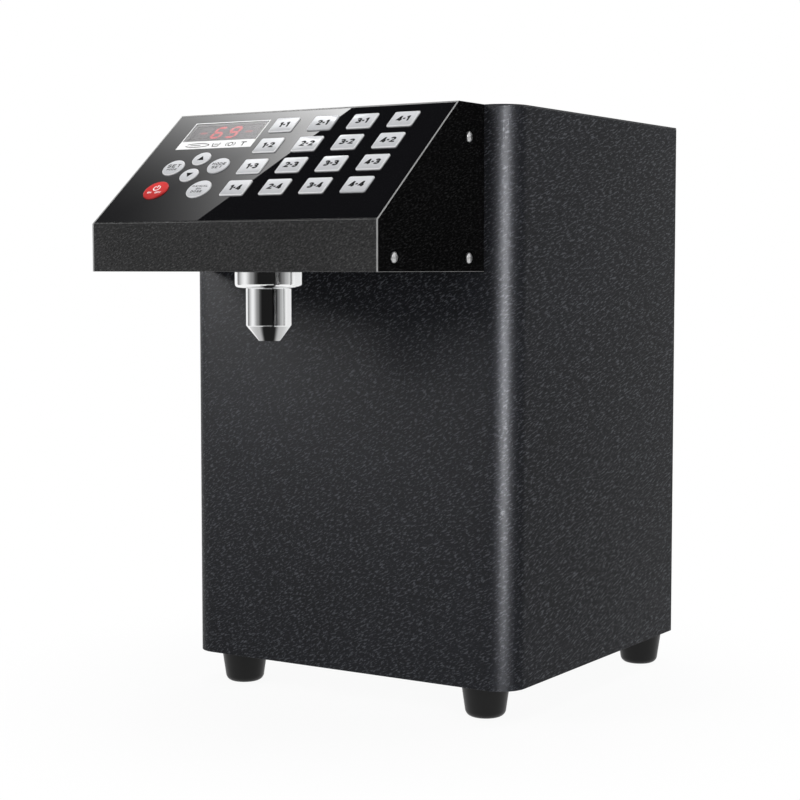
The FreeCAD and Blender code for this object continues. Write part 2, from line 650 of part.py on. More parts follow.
def panel_frame():
    """Sloping carrier under the overlay, folded into the top strip and a flange against the casing."""
    drop = BODY_TOP - FRAME_DROP
    hem = SLOPE_LENGTH - HEM
    outline = [slope_point(SLOPE_V0 + OVERLAY_GAP, FRAME_FACE), slope_point(hem, FRAME_FACE),
               slope_point(hem, 0), (BODY_FRONT - HEAD_TOP_REACH, BODY_TOP), (BODY_FRONT, BODY_TOP),
               (BODY_FRONT, drop), (BODY_FRONT - SHEET, drop), (BODY_FRONT - SHEET, WRAP_TOP),
               slope_point_below_top(FRAME_BACK), slope_point(SLOPE_V0 + OVERLAY_GAP, FRAME_BACK)]
    frame = side_profile(outline, -CHEEK_IN, CHEEK_IN)
    tab_y, tab_z = CHEEK_SCREWS[0]
    tab = box(CHEEK_IN - SHEET, CHEEK_IN, tab_y - CHEEK_TAB_LENGTH / 2, tab_y + CHEEK_TAB_LENGTH / 2,
              tab_z - HEAD_FIXING_INSET, WRAP_TOP)
    frame = frame.fuse(both_sides(tab) + board_studs())
    below, above = FRAME_BACK - SHEET, FRAME_FACE + SHEET / 2
    hole_size = KEY_FLANGE + KEY_FRAME_PLAY
    cuts = [on_slope(raised(outline_of(hole_size), below, above), u, v)
            for u, v, outline_of in keypad().values()]
    cuts.append(on_slope(lens_block(-LENS_LEDGE, below, above), DISPLAY_U, DISPLAY_V))
    cuts += [cylinder(SCREW_HOLE, 3 * SHEET, (x, BODY_FRONT - 2 * SHEET, z), Vector(0, 1, 0))
             for x, z in head_fixings() if z == FRAME_FIXING_Z]
    cuts.append(cylinder(SCREW_HOLE, HEAD_WIDTH, (-HALF_HEAD, tab_y, tab_z), Vector(1, 0, 0)))
    return frame.cut(cuts)


def cheek(side):
    """Flat side plate of the head with its three screw holes."""
    outline = [(HEAD_FRONT, HEAD_BOTTOM), (HEAD_FRONT, SLOPE_START), (BODY_FRONT - HEAD_TOP_REACH, BODY_TOP),
               (BODY_FRONT, BODY_TOP), (BODY_FRONT, HEAD_BOTTOM)]
    plate = side_profile(outline, side * CHEEK_IN, side * HALF_HEAD)
    return plate.cut([cylinder(SCREW_HOLE, HEAD_WIDTH, (-HALF_HEAD, y, z), Vector(1, 0, 0))
                      for y, z in CHEEK_SCREWS])


def lens_block(grow, n0, n1):
    outline = rounded_rect(WINDOW_LENS_WIDTH + 2 * grow, WINDOW_LENS_HEIGHT + 2 * grow, KEY_CORNER)
    return raised(outline, n0, n1)


def keypad_overlay():
    """Glossy black sheet over the whole slope, cut out for the keys, buttons and display lens."""
    v0, v1 = SLOPE_V0 + OVERLAY_GAP, SLOPE_LENGTH - HEM - OVERLAY_GAP
    half = CHEEK_IN - OVERLAY_GAP
    sheet = on_slope(box(-half, half, v0, v1, FRAME_FACE, 0))
    cuts = [on_slope(raised(outline_of(KEY_SIDE_PLAY), FRAME_BACK, OVERLAY), u, v)
            for u, v, outline_of in keypad().values()]
    cuts.append(on_slope(lens_block(0, FRAME_BACK, OVERLAY), DISPLAY_U, DISPLAY_V))
    return sheet.cut(cuts)


def display_window():
    return on_slope(lens_block(-OVERLAY_GAP, FRAME_FACE, 0), DISPLAY_U, DISPLAY_V)


def display_module():
    """Four-digit display block standing on the control board under the lens."""
    grow = -LENS_LEDGE - MODULE_PLAY
    return on_slope(lens_block(grow, -BOARD_DROP, FRAME_FACE - MODULE_PLAY), DISPLAY_U, DISPLAY_V)


def stud_places():
    u = BOARD_WIDTH / 2 - STUD_INSET
    rows = (BOARD_BOTTOM_V + STUD_INSET, BOARD_TOP_V - STUD_INSET)
    return [(side * u, v) for side in (-1, 1) for v in rows]


def board_studs():
    """Pressed studs on the back of the panel frame, down to the board."""
    return [on_slope(raised(disc(STUD_RADIUS), -BOARD_DROP, FRAME_BACK + SHEET / 2), u, v)
            for u, v in stud_places()]


def square_post(width, n0, n1, u=0.0, v=0.0):
    half = width / 2
    return box(u - half, u + half, v - half, v + half, n0, n1)


def control_board():
    """Circuit board with one tactile switch under each key."""
    board = box(-BOARD_WIDTH / 2, BOARD_WIDTH / 2, BOARD_BOTTOM_V, BOARD_TOP_V,
                -BOARD_DROP - BOARD_THICKNESS, -BOARD_DROP)
    floor = SWITCH_FLOOR - BOARD_DROP
    well_width = STEM_WIDTH + 2 * STEM_PLAY
    switches = [square_post(SWITCH_SIZE, -BOARD_DROP, SWITCH_TOP, u, v) for u, v, _ in keypad().values()]
    wells = [square_post(well_width, floor, SWITCH_TOP, u, v) for u, v, _ in keypad().values()]
    return on_slope(board.fuse(switches).cut(wells))


def push_key(outline_of):
    """Key cap with a bevelled face, a retaining flange below the overlay and a switch stem."""
    cap = raised(outline_of(0), KEY_FLANGE_TOP, KEY_PROUD)
    cap = cap.makeChamfer(KEY_BEVEL, edges_at(cap, KEY_PROUD))
    flange = raised(outline_of(KEY_FLANGE), KEY_FLANGE_BACK, KEY_FLANGE_TOP)
    return cap.fuse([flange, square_post(STEM_WIDTH, STEM_TIP, KEY_FLANGE_BACK)])


# ---------------------------------------------------------------- nozzle and hoses
def nozzle_collar():
    """Wide collar under the shelf with the spigot that passes up through it."""
    collar = turned([(SOCKET_RADIUS, COLLAR_BOTTOM), (COLLAR_RADIUS, COLLAR_BOTTOM),
                     (COLLAR_RADIUS, HEAD_BOTTOM), (SPIGOT_RADIUS, HEAD_BOTTOM),
                     (SPIGOT_RADIUS, SPIGOT_TOP), (SOCKET_RADIUS, SPIGOT_TOP)])
    rim = [e for e in edges_at(collar, COLLAR_BOTTOM) if e.Curve.Radius > BARREL_RADIUS]
    return collar.makeFillet(COLLAR_EDGE, rim).translated(Vector(0, NOZZLE_Y, 0))


def nozzle_barrel():
    """Barrel with a conical tip and a plug into the collar."""
    plug = SOCKET_RADIUS - NOZZLE_PLAY
    tip = BARREL_BOTTOM - TIP_LENGTH
    barrel = turned([(NOZZLE_BORE, tip), (TIP_RADIUS, tip), (BARREL_RADIUS, BARREL_BOTTOM),
                     (BARREL_RADIUS, COLLAR_BOTTOM), (plug, COLLAR_BOTTOM),
                     (plug, COLLAR_BOTTOM + PLUG_LENGTH), (NOZZLE_BORE, COLLAR_BOTTOM + PLUG_LENGTH)])
    return barrel.translated(Vector(0, NOZZLE_Y, 0))


def nozzle_nut():
    """Hexagon nut that clamps the collar to the shelf from above."""
    corner = NUT_FLATS / math.sqrt(3)
    angles = [math.radians(60 * side) for side in range(6)]
    points = [Vector(corner * math.cos(angle), corner * math.sin(angle), 0) for angle in angles]
    bottom = HEAD_BOTTOM + SHEET
    nut = raised(polygon_face(points), bottom, bottom + NUT_HEIGHT)
    nut = nut.cut(cylinder(SPIGOT_RADIUS + NOZZLE_PLAY, NUT_HEIGHT, (0, 0, bottom), Vector(0, 0, 1)))
    return nut.translated(Vector(0, NOZZLE_Y, 0))


def barb(root):
    """Hose barb along +Z from z = 0; its plain root reaches back by root."""
    pitch = BARB_LENGTH / BARB_RIDGES
    outline = [(0, -root), (BARB_RADIUS - BARB_STEP, -root)]
    for ridge in range(BARB_RIDGES):
        outline.append((BARB_RADIUS - BARB_STEP, ridge * pitch + BARB_STEP))
        outline.append((BARB_RADIUS, ridge * pitch + BARB_STEP))
        outline.append((BARB_RADIUS - BARB_STEP, (ridge + 1) * pitch))
    return turned(outline + [(0, BARB_LENGTH)])


def elbow_fitting(parts, bottom, height, barb_root, barb_base, axis):
    """Fuse a fitting's turned parts with a side barb and drill both bores."""
    x, y, z = barb_base
    body = parts[0].fuse(parts[1:] + [facing(barb(barb_root), axis, barb_base)])
    centre = Vector(x, y, z) - axis * barb_root
    bores = [cylinder(BARB_BORE, height - bottom, (centre.x, centre.y, bottom), Vector(0, 0, 1)),
             cylinder(BARB_BORE, barb_root + BARB_LENGTH, tuple(centre), axis)]
    return body.cut(bores)


def nozzle_elbow():
    """Fitting on top of the collar with a hose barb towards the casing."""
    up = Vector(0, 0, 1)
    flange_top = SPIGOT_TOP + ELBOW_FLANGE_HEIGHT
    plug_bottom = COLLAR_BOTTOM + PLUG_LENGTH + SHEET
    parts = [cylinder(ELBOW_RADIUS, ELBOW_HEIGHT, (0, NOZZLE_Y, flange_top), up),
             cylinder(ELBOW_FLANGE_RADIUS, ELBOW_FLANGE_HEIGHT, (0, NOZZLE_Y, SPIGOT_TOP), up),
             cylinder(SOCKET_RADIUS - NOZZLE_PLAY, SPIGOT_TOP - plug_bottom, (0, NOZZLE_Y, plug_bottom), up)]
    return elbow_fitting(parts, plug_bottom, ELBOW_BARB_Z, ELBOW_RADIUS,
                         (0, NOZZLE_Y + ELBOW_RADIUS, ELBOW_BARB_Z), Vector(0, 1, 0))


def tank_outlet():
    """Fitting under the sump with a hose barb to the right."""
    up = Vector(0, 0, 1)
    body_bottom = OUTLET_COLLAR_BOTTOM - OUTLET_BODY_HEIGHT
    parts = [cylinder(OUTLET_BODY_RADIUS, OUTLET_BODY_HEIGHT, (0, TANK_Y, body_bottom), up),
             cylinder(OUTLET_COLLAR_RADIUS, OUTLET_COLLAR_HEIGHT, (0, TANK_Y, OUTLET_COLLAR_BOTTOM), up),
             cylinder(OUTLET_BORE - NOZZLE_PLAY, TANK_WALL, (0, TANK_Y, SUMP_BOTTOM), up)]
    return elbow_fitting(parts, OUTLET_BARB_Z, SUMP_BOTTOM + TANK_WALL, OUTLET_BODY_RADIUS,
                         (OUTLET_BODY_RADIUS, TANK_Y, OUTLET_BARB_Z), Vector(1, 0, 0))


def hose(points):
    """Hose along straight runs joined by tangent arcs of the bend radius."""
    corners = [Vector(*p) for p in points]
    edges = []
    start = corners[0]
    for before, corner, after in zip(corners, corners[1:], corners[2:]):
        inward, outward = (before - corner).normalize(), (after - corner).normalize()
        half = inward.getAngle(outward) / 2
        cut = HOSE_BEND / math.tan(half)
        middle = (inward + outward).normalize()
        crown = corner + middle * (HOSE_BEND / math.sin(half) - HOSE_BEND)
        first, last = corner + inward * cut, corner + outward * cut
        edges += [Part.makeLine(start, first), Part.Arc(first, crown, last).toShape()]
        start = last
    path = Part.Wire(edges + [Part.makeLine(start, corners[-1])])
    along = corners[1] - corners[0]
    rings = [Part.Wire(Part.makeCircle(radius, corners[0], along))
             for radius in (HOSE_RADIUS, BARB_RADIUS + BARB_PLAY)]
    outside, inside = (path.makePipeShell([ring], True, False) for ring in rings)
    return outside.cut(inside)


def suction_hose():
    """From the tank's outlet down to the right port of the pump."""
    return hose([(OUTLET_BODY_RADIUS + HOSE_END_GAP, TANK_Y, OUTLET_BARB_Z),
                 (HOSE_SIDE, TANK_Y, OUTLET_BARB_Z), (HOSE_SIDE, PUMP_Y, OUTLET_BARB_Z),
                 (HOSE_SIDE, PUMP_Y, PUMP_AXIS_HEIGHT),
                 (PUMP_RADIUS + HOSE_END_GAP, PUMP_Y, PUMP_AXIS_HEIGHT)])


def delivery_hose():
    """From the left port of the pump up behind the front wall and out to the nozzle elbow."""
    return hose([(0, NOZZLE_Y + ELBOW_RADIUS + HOSE_END_GAP, ELBOW_BARB_Z), (0, PUMP_Y, ELBOW_BARB_Z),
                 (-HOSE_SIDE, PUMP_Y, ELBOW_BARB_Z - HOSE_DROP), (-HOSE_SIDE, PUMP_Y, PUMP_AXIS_HEIGHT),
                 (-PUMP_RADIUS - HOSE_END_GAP, PUMP_Y, PUMP_AXIS_HEIGHT)])


# ---------------------------------------------------------------- syrup tank and lid
def tank_block(inset, top):
    """Solid of the tank's outside, or of its inside with the wall as inset."""
    body = raised(rounded_rect(TANK_WIDTH - 2 * inset, TANK_LENGTH - 2 * inset, TANK_CORNER - inset),
                  TANK_FLOOR + inset, TANK_TOP - inset)
    neck = raised(rounded_rect(NECK_WIDTH - 2 * inset, NECK_LENGTH - 2 * inset, NECK_CORNER - inset),
                  TANK_TOP - 2 * TANK_WALL, top)
    sump = turned([(0, SUMP_BOTTOM + inset), (OUTLET_RADIUS - inset, SUMP_BOTTOM + inset),
                   (SUMP_RADIUS - inset, TANK_FLOOR + inset), (0, TANK_FLOOR + inset)])
    return body.fuse([neck, sump]).translated(Vector(0, TANK_Y, 0))


def syrup_tank():
    """Welded sheet tank with a filling neck above and a conical sump below."""
    drain = cylinder(OUTLET_BORE, 3 * TANK_WALL, (0, TANK_Y, SUMP_BOTTOM - TANK_WALL), Vector(0, 0, 1))
    return tank_block(0, NECK_TOP).cut([tank_block(TANK_WALL, NECK_TOP + TANK_WALL), drain])


def tank_shelf():
    """Folded shelf between the side walls that carries the tank round its sump."""
    x = HALF_BODY - SHEET
    y0, y1 = TANK_FRONT - SHELF_MARGIN, TANK_FRONT + TANK_LENGTH + SHELF_MARGIN
    under = TANK_FLOOR - SHEET
    shelf = box(-x, x, y0, y1, under, TANK_FLOOR)
    flange = box(x - SHEET, x, y0, y1, TANK_FLOOR - SHELF_FLANGE, under + SHEET / 2)
    hole = cylinder(SUMP_RADIUS + SUMP_PLAY, 3 * SHEET, (0, TANK_Y, under - SHEET), Vector(0, 0, 1))
    return shelf.fuse(both_sides(flange)).removeSplitter().cut(hole)


def lid_plan(grow):
    return rounded_rect(NECK_WIDTH + 2 * grow, NECK_LENGTH + 2 * grow, NECK_CORNER + grow)


def tank_lid():
    """Low lid with a down-turned rim and a pressed dish for the fingers."""
    cap = raised(lid_plan(LID_OVERLAP), BODY_TOP + LID_FOOT_PLAY, LID_TOP)
    cap = cap.makeChamfer(LID_EDGE, edges_at(cap, LID_TOP))
    cap = cap.cut(raised(lid_plan(LID_OVERLAP - SHEET), BODY_TOP, LID_UNDER))
    cap = cap.fuse(raised(disc(DISH_RADIUS), LID_TOP - DISH_DEPTH, LID_UNDER + SHEET / 2))
    cap = cap.cut(raised(disc(DISH_RADIUS - SHEET), LID_TOP - DISH_DEPTH + SHEET, LID_TOP + SHEET))
    return cap.translated(Vector(0, TANK_Y, 0))


def lid_seal():
    """Flat gasket under the lid, over the rim of the neck."""
    bottom = NECK_TOP + SEAL_GAP
    ring = raised(lid_plan(SEAL_OUT), bottom, LID_UNDER)
    ring = ring.cut(raised(lid_plan(SEAL_OUT - SEAL_WIDTH), bottom, LID_UNDER))
    return ring.translated(Vector(0, TANK_Y, 0))


def lid_pull():
    """Round bar across the dish."""
    half = math.sqrt((DISH_RADIUS - SHEET) ** 2 - PULL_RADIUS ** 2)
    return cylinder(PULL_RADIUS, 2 * half, (-half, TANK_Y, PULL_Z), Vector(1, 0, 0))


def heater_pad():
    """Silicone heater stuck to the tank's front wall."""
    pad = raised(rounded_rect(HEATER_WIDTH, HEATER_HEIGHT, HEATER_THICKNESS), 0, HEATER_THICKNESS)
    middle = TANK_FLOOR + HEATER_BASE_RISE + HEATER_HEIGHT / 2
    pad.rotate(Vector(), Vector(1, 0, 0), 90)
    return pad.translated(Vector(0, TANK_FRONT, middle))


# ---------------------------------------------------------------- gear pump and motor
def involute(angle):
    return math.tan(angle) - angle


def gear_face():
    """Involute gear outline with one tooth on +X, thinned by the backlash."""
    pressure = math.radians(PRESSURE_ANGLE)
    base = PITCH_RADIUS * math.cos(pressure)
    root = PITCH_RADIUS - DEDENDUM * MODULE
    half_pitch = math.pi / (2 * TEETH) - BACKLASH / (4 * PITCH_RADIUS)

    def polar(radius, angle):
        return Vector(radius * math.cos(angle), radius * math.sin(angle), 0)

    flank = []
    for step in range(FLANK_STEPS + 1):
        radius = base + (GEAR_RADIUS - base) * step / FLANK_STEPS
        swing = half_pitch + involute(pressure) - involute(math.acos(base / radius))
        flank.append((radius, swing))
    root_swing = flank[0][1]
    edges = []
    for tooth in range(TEETH):
        middle = 2 * math.pi * tooth / TEETH
        rise = [polar(radius, middle - swing) for radius, swing in flank]
        fall = [polar(radius, middle + swing) for radius, swing in reversed(flank)]
        next_root = middle + 2 * math.pi / TEETH - root_swing
        edges.append(Part.makeLine(polar(root, middle - root_swing), rise[0]))
        for side in (rise, fall):
            curve = Part.BSplineCurve()
            curve.interpolate(side)
            if side is fall:
                edges.append(Part.Arc(rise[-1], polar(GEAR_RADIUS, middle), fall[0]).toShape())
            edges.append(curve.toShape())
        edges.append(Part.makeLine(fall[-1], polar(root, middle + root_swing)))
        edges.append(Part.Arc(polar(root, middle + root_swing), polar(root, middle + math.pi / TEETH),
                              polar(root, next_root)).toShape())
    return Part.Face(Part.Wire(edges))


def gear(z, turn):
    """Gear with its axis along Y, its first tooth turned from +X by an angle."""
    wheel = raised(gear_face(), 0, GEAR_WIDTH)
    wheel.rotate(Vector(), Vector(0, 0, 1), turn)
    wheel.rotate(Vector(), Vector(1, 0, 0), 90)
    return wheel.translated(Vector(0, CAVITY_REAR - GEAR_END_PLAY, z))


def drive_gear():
    """Gear on the motor shaft, a tooth pointing down at the driven gear."""
    bore = cylinder(SHAFT_RADIUS + GEAR_BORE_PLAY, CAVITY_DEPTH, (0, CAVITY_FRONT, DRIVE_Z), Vector(0, 1, 0))
    return gear(DRIVE_Z, -90).cut(bore)


def driven_gear():
    """Gear with its own journals, a tooth space pointing up."""
    journal = cylinder(SHAFT_RADIUS, CAVITY_DEPTH + 2 * JOURNAL, (0, CAVITY_FRONT - JOURNAL, DRIVEN_Z),
                       Vector(0, 1, 0))
    return gear(DRIVEN_Z, 90 - 180 / TEETH).fuse(journal)


def motor_shaft():
    """Shaft from the pump cover through the drive gear into the gearbox."""
    front = CAVITY_FRONT - JOURNAL
    length = MOTOR_FRONT + MOTOR_SHAFT_DEPTH - front
    return cylinder(SHAFT_RADIUS, length, (0, front, DRIVE_Z), Vector(0, 1, 0))


def stadium(radius, y0, y1):
    """Upright block round both gear centres."""
    back = Vector(0, 1, 0)
    ends = [cylinder(radius, y1 - y0, (0, y0, z), back) for z in (DRIVE_Z, DRIVEN_Z)]
    middle = box(-radius, radius, y0, y1, DRIVEN_Z, DRIVE_Z)
    return middle.fuse(ends).removeSplitter()


def pump_housing():
    """Pump body: figure-eight cavity, bearing bores, cover screw holes and a barb on each side."""
    back = Vector(0, 1, 0)
    body = stadium(PUMP_RADIUS, CAVITY_FRONT, PUMP_REAR)
    root = PUMP_WALL / 2
    body = body.fuse([facing(barb(root), Vector(side, 0, 0), (side * PUMP_RADIUS, PUMP_Y, PUMP_AXIS_HEIGHT))
                      for side in (-1, 1)])
    reach = PUMP_RADIUS + BARB_LENGTH
    cuts = [cylinder(CAVITY_RADIUS, CAVITY_DEPTH, (0, CAVITY_FRONT, z), back) for z in (DRIVE_Z, DRIVEN_Z)]
    cuts.append(cylinder(PORT_BORE, 2 * reach, (-reach, PUMP_Y, PUMP_AXIS_HEIGHT), Vector(1, 0, 0)))
    cuts.append(cylinder(SHAFT_BORE, PUMP_BACK, (0, CAVITY_REAR, DRIVE_Z), back))
    cuts.append(cylinder(SHAFT_BORE, JOURNAL + JOURNAL_END_PLAY, (0, CAVITY_REAR, DRIVEN_Z), back))
    depth = SCREW_LENGTH - COVER_THICKNESS + JOURNAL_END_PLAY
    cuts += [cylinder(SCREW_HOLE, depth, (x, CAVITY_FRONT, z), back) for x, z in pump_screw_places()]
    return body.cut(cuts)


def pump_cover():
    """Front cover with blind bearing bores and six screw holes."""
    back = Vector(0, 1, 0)
    blind = JOURNAL + JOURNAL_END_PLAY
    cuts = [cylinder(SHAFT_BORE, blind, (0, CAVITY_FRONT - blind, z), back) for z in (DRIVE_Z, DRIVEN_Z)]
    cuts += [cylinder(SCREW_HOLE, COVER_THICKNESS, (x, COVER_FRONT, z), back) for x, z in pump_screw_places()]
    return stadium(PUMP_RADIUS, COVER_FRONT, CAVITY_FRONT).cut(cuts)


def pump_bracket():
    """Upright between pump and motor on a foot, stiffened by two gussets."""
    half = BRACKET_WIDTH / 2
    upright = box(-half, half, PUMP_REAR, MOTOR_FRONT, FLOOR_TOP, DRIVE_Z + BRACKET_TOP_MARGIN)
    foot = box(-half, half, PUMP_REAR, PUMP_REAR + BRACKET_FOOT, FLOOR_TOP, FLOOR_TOP + BRACKET_THICKNESS)
    gusset = side_profile([(MOTOR_FRONT, FLOOR_TOP), (MOTOR_FRONT + GUSSET, FLOOR_TOP),
                           (MOTOR_FRONT, FLOOR_TOP + GUSSET)], half - BRACKET_THICKNESS, half)
    hole = cylinder(PILOT_RADIUS, BRACKET_THICKNESS, (0, PUMP_REAR, DRIVE_Z), Vector(0, 1, 0))
    return upright.fuse([foot] + both_sides(gusset)).removeSplitter().cut(hole)


def pump_motor():
    """Gear motor with a pilot in the bracket, a gearbox, a can and a rear cap."""
    can_end = GEARBOX_LENGTH + MOTOR_LENGTH
    pilot = PILOT_RADIUS - PILOT_PLAY
    motor = turned([(0, -BRACKET_THICKNESS), (pilot, -BRACKET_THICKNESS), (pilot, 0), (GEARBOX_RADIUS, 0),
                    (GEARBOX_RADIUS, GEARBOX_LENGTH), (MOTOR_RADIUS, GEARBOX_LENGTH), (MOTOR_RADIUS, can_end),
                    (MOTOR_CAP_RADIUS, can_end), (MOTOR_CAP_RADIUS, can_end + MOTOR_CAP_LENGTH),
                    (0, can_end + MOTOR_CAP_LENGTH)])
    bore_length = BRACKET_THICKNESS + MOTOR_SHAFT_DEPTH + JOURNAL_END_PLAY
    motor = motor.cut(cylinder(SHAFT_BORE, bore_length, (0, 0, -BRACKET_THICKNESS), Vector(0, 0, 1)))
    return facing(motor, Vector(0, 1, 0), (0, MOTOR_FRONT, DRIVE_Z))


# ---------------------------------------------------------------- power supply and rear fittings
def power_supply():
    """Boxed supply on the floor with a lower terminal end towards the front."""
    x1 = HALF_BODY - SHEET - SUPPLY_INSET_X
    y1 = BODY_REAR - SUPPLY_INSET_Y
    y0 = y1 - SUPPLY_LENGTH
    top = FLOOR_TOP + SUPPLY_HEIGHT
    case = box(x1 - SUPPLY_WIDTH, x1, y0, y1, FLOOR_TOP, top)
    step = box(x1 - SUPPLY_WIDTH, x1, y0, y0 + TERMINAL_LENGTH, top - TERMINAL_STEP, top)
    return case.cut(step)


def inlet_socket():
    """Snap-in appliance inlet: flange, body, keyed recess and three blade pins."""
    flange = box(-INLET_FLANGE_WIDTH / 2, INLET_FLANGE_WIDTH / 2, 0, FLANGE_PROUD,
                 -INLET_FLANGE_HEIGHT / 2, INLET_FLANGE_HEIGHT / 2)
    body = box(-INLET_BODY_WIDTH / 2, INLET_BODY_WIDTH / 2, -INLET_BODY_DEPTH, 0,
               -INLET_BODY_HEIGHT / 2, INLET_BODY_HEIGHT / 2)
    x, z = INLET_RECESS_WIDTH / 2, INLET_RECESS_HEIGHT / 2
    outline = [(-x, -z), (x, -z), (x, z - INLET_CHAMFER), (x - INLET_CHAMFER, z), (INLET_CHAMFER - x, z),
               (-x, z - INLET_CHAMFER)]
    floor = FLANGE_PROUD - INLET_RECESS_DEPTH
    recess = polygon_face([Vector(a, floor, b) for a, b in outline]).extrude(Vector(0, INLET_RECESS_DEPTH, 0))
    socket = flange.fuse(body).cut(recess)
    pins = [box(a - PIN_WIDTH / 2, a + PIN_WIDTH / 2, floor - PIN_WIDTH / 2, floor + PIN_LENGTH,
                b - PIN_HEIGHT / 2, b + PIN_HEIGHT / 2)
            for a, b in ((-PIN_SPACING, -PIN_DROP), (PIN_SPACING, -PIN_DROP), (0, PIN_DROP))]
    return socket.fuse(pins).translated(Vector(INLET_X, BODY_REAR, INLET_Z))


def rocker_body_width():
    return ROCKER_WIDTH + 2 * ROCKER_PLAY + 2 * ROCKER_WALL


def rocker_body_height():
    return ROCKER_HEIGHT + 2 * ROCKER_PLAY + 2 * ROCKER_WALL


def centred_box(width, height, y0, y1):
    return box(-width / 2, width / 2, y0, y1, -height / 2, height / 2)


def switch_frame():
    """Bezel and case of the rear rocker switch, with holes for the rocker's pins."""
    bezel = centred_box(ROCKER_FRAME_WIDTH, ROCKER_FRAME_HEIGHT, 0, FLANGE_PROUD)
    case = centred_box(rocker_body_width(), rocker_body_height(), -ROCKER_BODY_DEPTH, 0)
    cavity = centred_box(ROCKER_WIDTH + 2 * ROCKER_PLAY, ROCKER_HEIGHT + 2 * ROCKER_PLAY,
                         ROCKER_WALL - ROCKER_BODY_DEPTH, FLANGE_PROUD)
    pivot = cylinder(ROCKER_PIN_RADIUS + ROCKER_PIN_PLAY, rocker_body_width() - ROCKER_PLAY,
                     (ROCKER_PLAY / 2 - rocker_body_width() / 2, FLANGE_PROUD - ROCKER_PIVOT_DEPTH, 0),
                     Vector(1, 0, 0))
    return bezel.fuse(case).cut([cavity, pivot]).translated(Vector(ROCKER_X, BODY_REAR, ROCKER_Z))


def power_rocker():
    """Rocker with a dished face and two pivot pins, resting in its off position."""
    radius = ROCKER_HEIGHT / 2
    half = ROCKER_WIDTH / 2
    across = Vector(1, 0, 0)
    drum = cylinder(radius, ROCKER_WIDTH, (-half, 0, 0), across)
    reach = math.sqrt(radius ** 2 - ROCKER_END_RISE ** 2)
    keep = side_profile([(ROCKER_END_RISE, reach), (ROCKER_MIDDLE_RISE, 0), (ROCKER_END_RISE, -reach),
                         (ROCKER_END_RISE, -radius), (-ROCKER_BACK, -radius), (-ROCKER_BACK, radius),
                         (ROCKER_END_RISE, radius)], -half, half)
    rocker = drum.common(keep)
    pins = [cylinder(ROCKER_PIN_RADIUS, half + ROCKER_PLAY + ROCKER_PIN_LENGTH, (0, 0, 0), Vector(side, 0, 0))
            for side in (-1, 1)]
    rocker = rocker.fuse(pins)
    rocker.rotate(Vector(), across, -ROCKER_THROW / 2)
    return rocker.translated(Vector(ROCKER_X, ROCKER_PIVOT_Y, ROCKER_Z))


# ---------------------------------------------------------------- whole machine
def machine():
    """Every sub-part of the machine by name."""
    parts = {
        "body_wrap": body_wrap(), "top_deck": top_deck(), "base_plate": base_plate(),
        "rear_panel": rear_panel(), "rubber_feet": rubber_feet(), "pan_head_screws": pan_head_screws(),
        "head_tray": head_tray(), "panel_frame": panel_frame(),
        "left_cheek": cheek(-1), "right_cheek": cheek(1),
        "keypad_overlay": keypad_overlay(), "display_window": display_window(),
        "display_module": display_module(), "control_board": control_board(),
        "nozzle_collar": nozzle_collar(), "nozzle_barrel": nozzle_barrel(),
        "nozzle_nut": nozzle_nut(), "nozzle_elbow": nozzle_elbow(),
        "syrup_tank": syrup_tank(), "tank_shelf": tank_shelf(), "tank_outlet": tank_outlet(),
        "tank_lid": tank_lid(), "lid_seal": lid_seal(), "lid_pull": lid_pull(), "heater_pad": heater_pad(),
        "suction_hose": suction_hose(), "delivery_hose": delivery_hose(),
        "pump_housing": pump_housing(), "pump_cover": pump_cover(),
        "drive_gear": drive_gear(), "driven_gear": driven_gear(), "motor_shaft": motor_shaft(),
        "pump_motor": pump_motor(), "pump_bracket": pump_bracket(),
        "power_supply": power_supply(), "inlet_socket": inlet_socket(),
        "switch_frame": switch_frame(), "power_rocker": power_rocker(),
    }
    for name, (u, v, outline_of) in keypad().items():
        parts[name] = on_slope(push_key(outline_of), u, v)
    return parts


MACHINE = machine()
os.makedirs("parts", exist_ok=True)
for node, shape in MACHINE.items():
    shape.exportStep(os.path.join("parts", node + ".step"))
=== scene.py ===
import json
import math
import bmesh
import bpy
from mathutils import Matrix, Vector
from mathutils.bvhtree import BVHTree

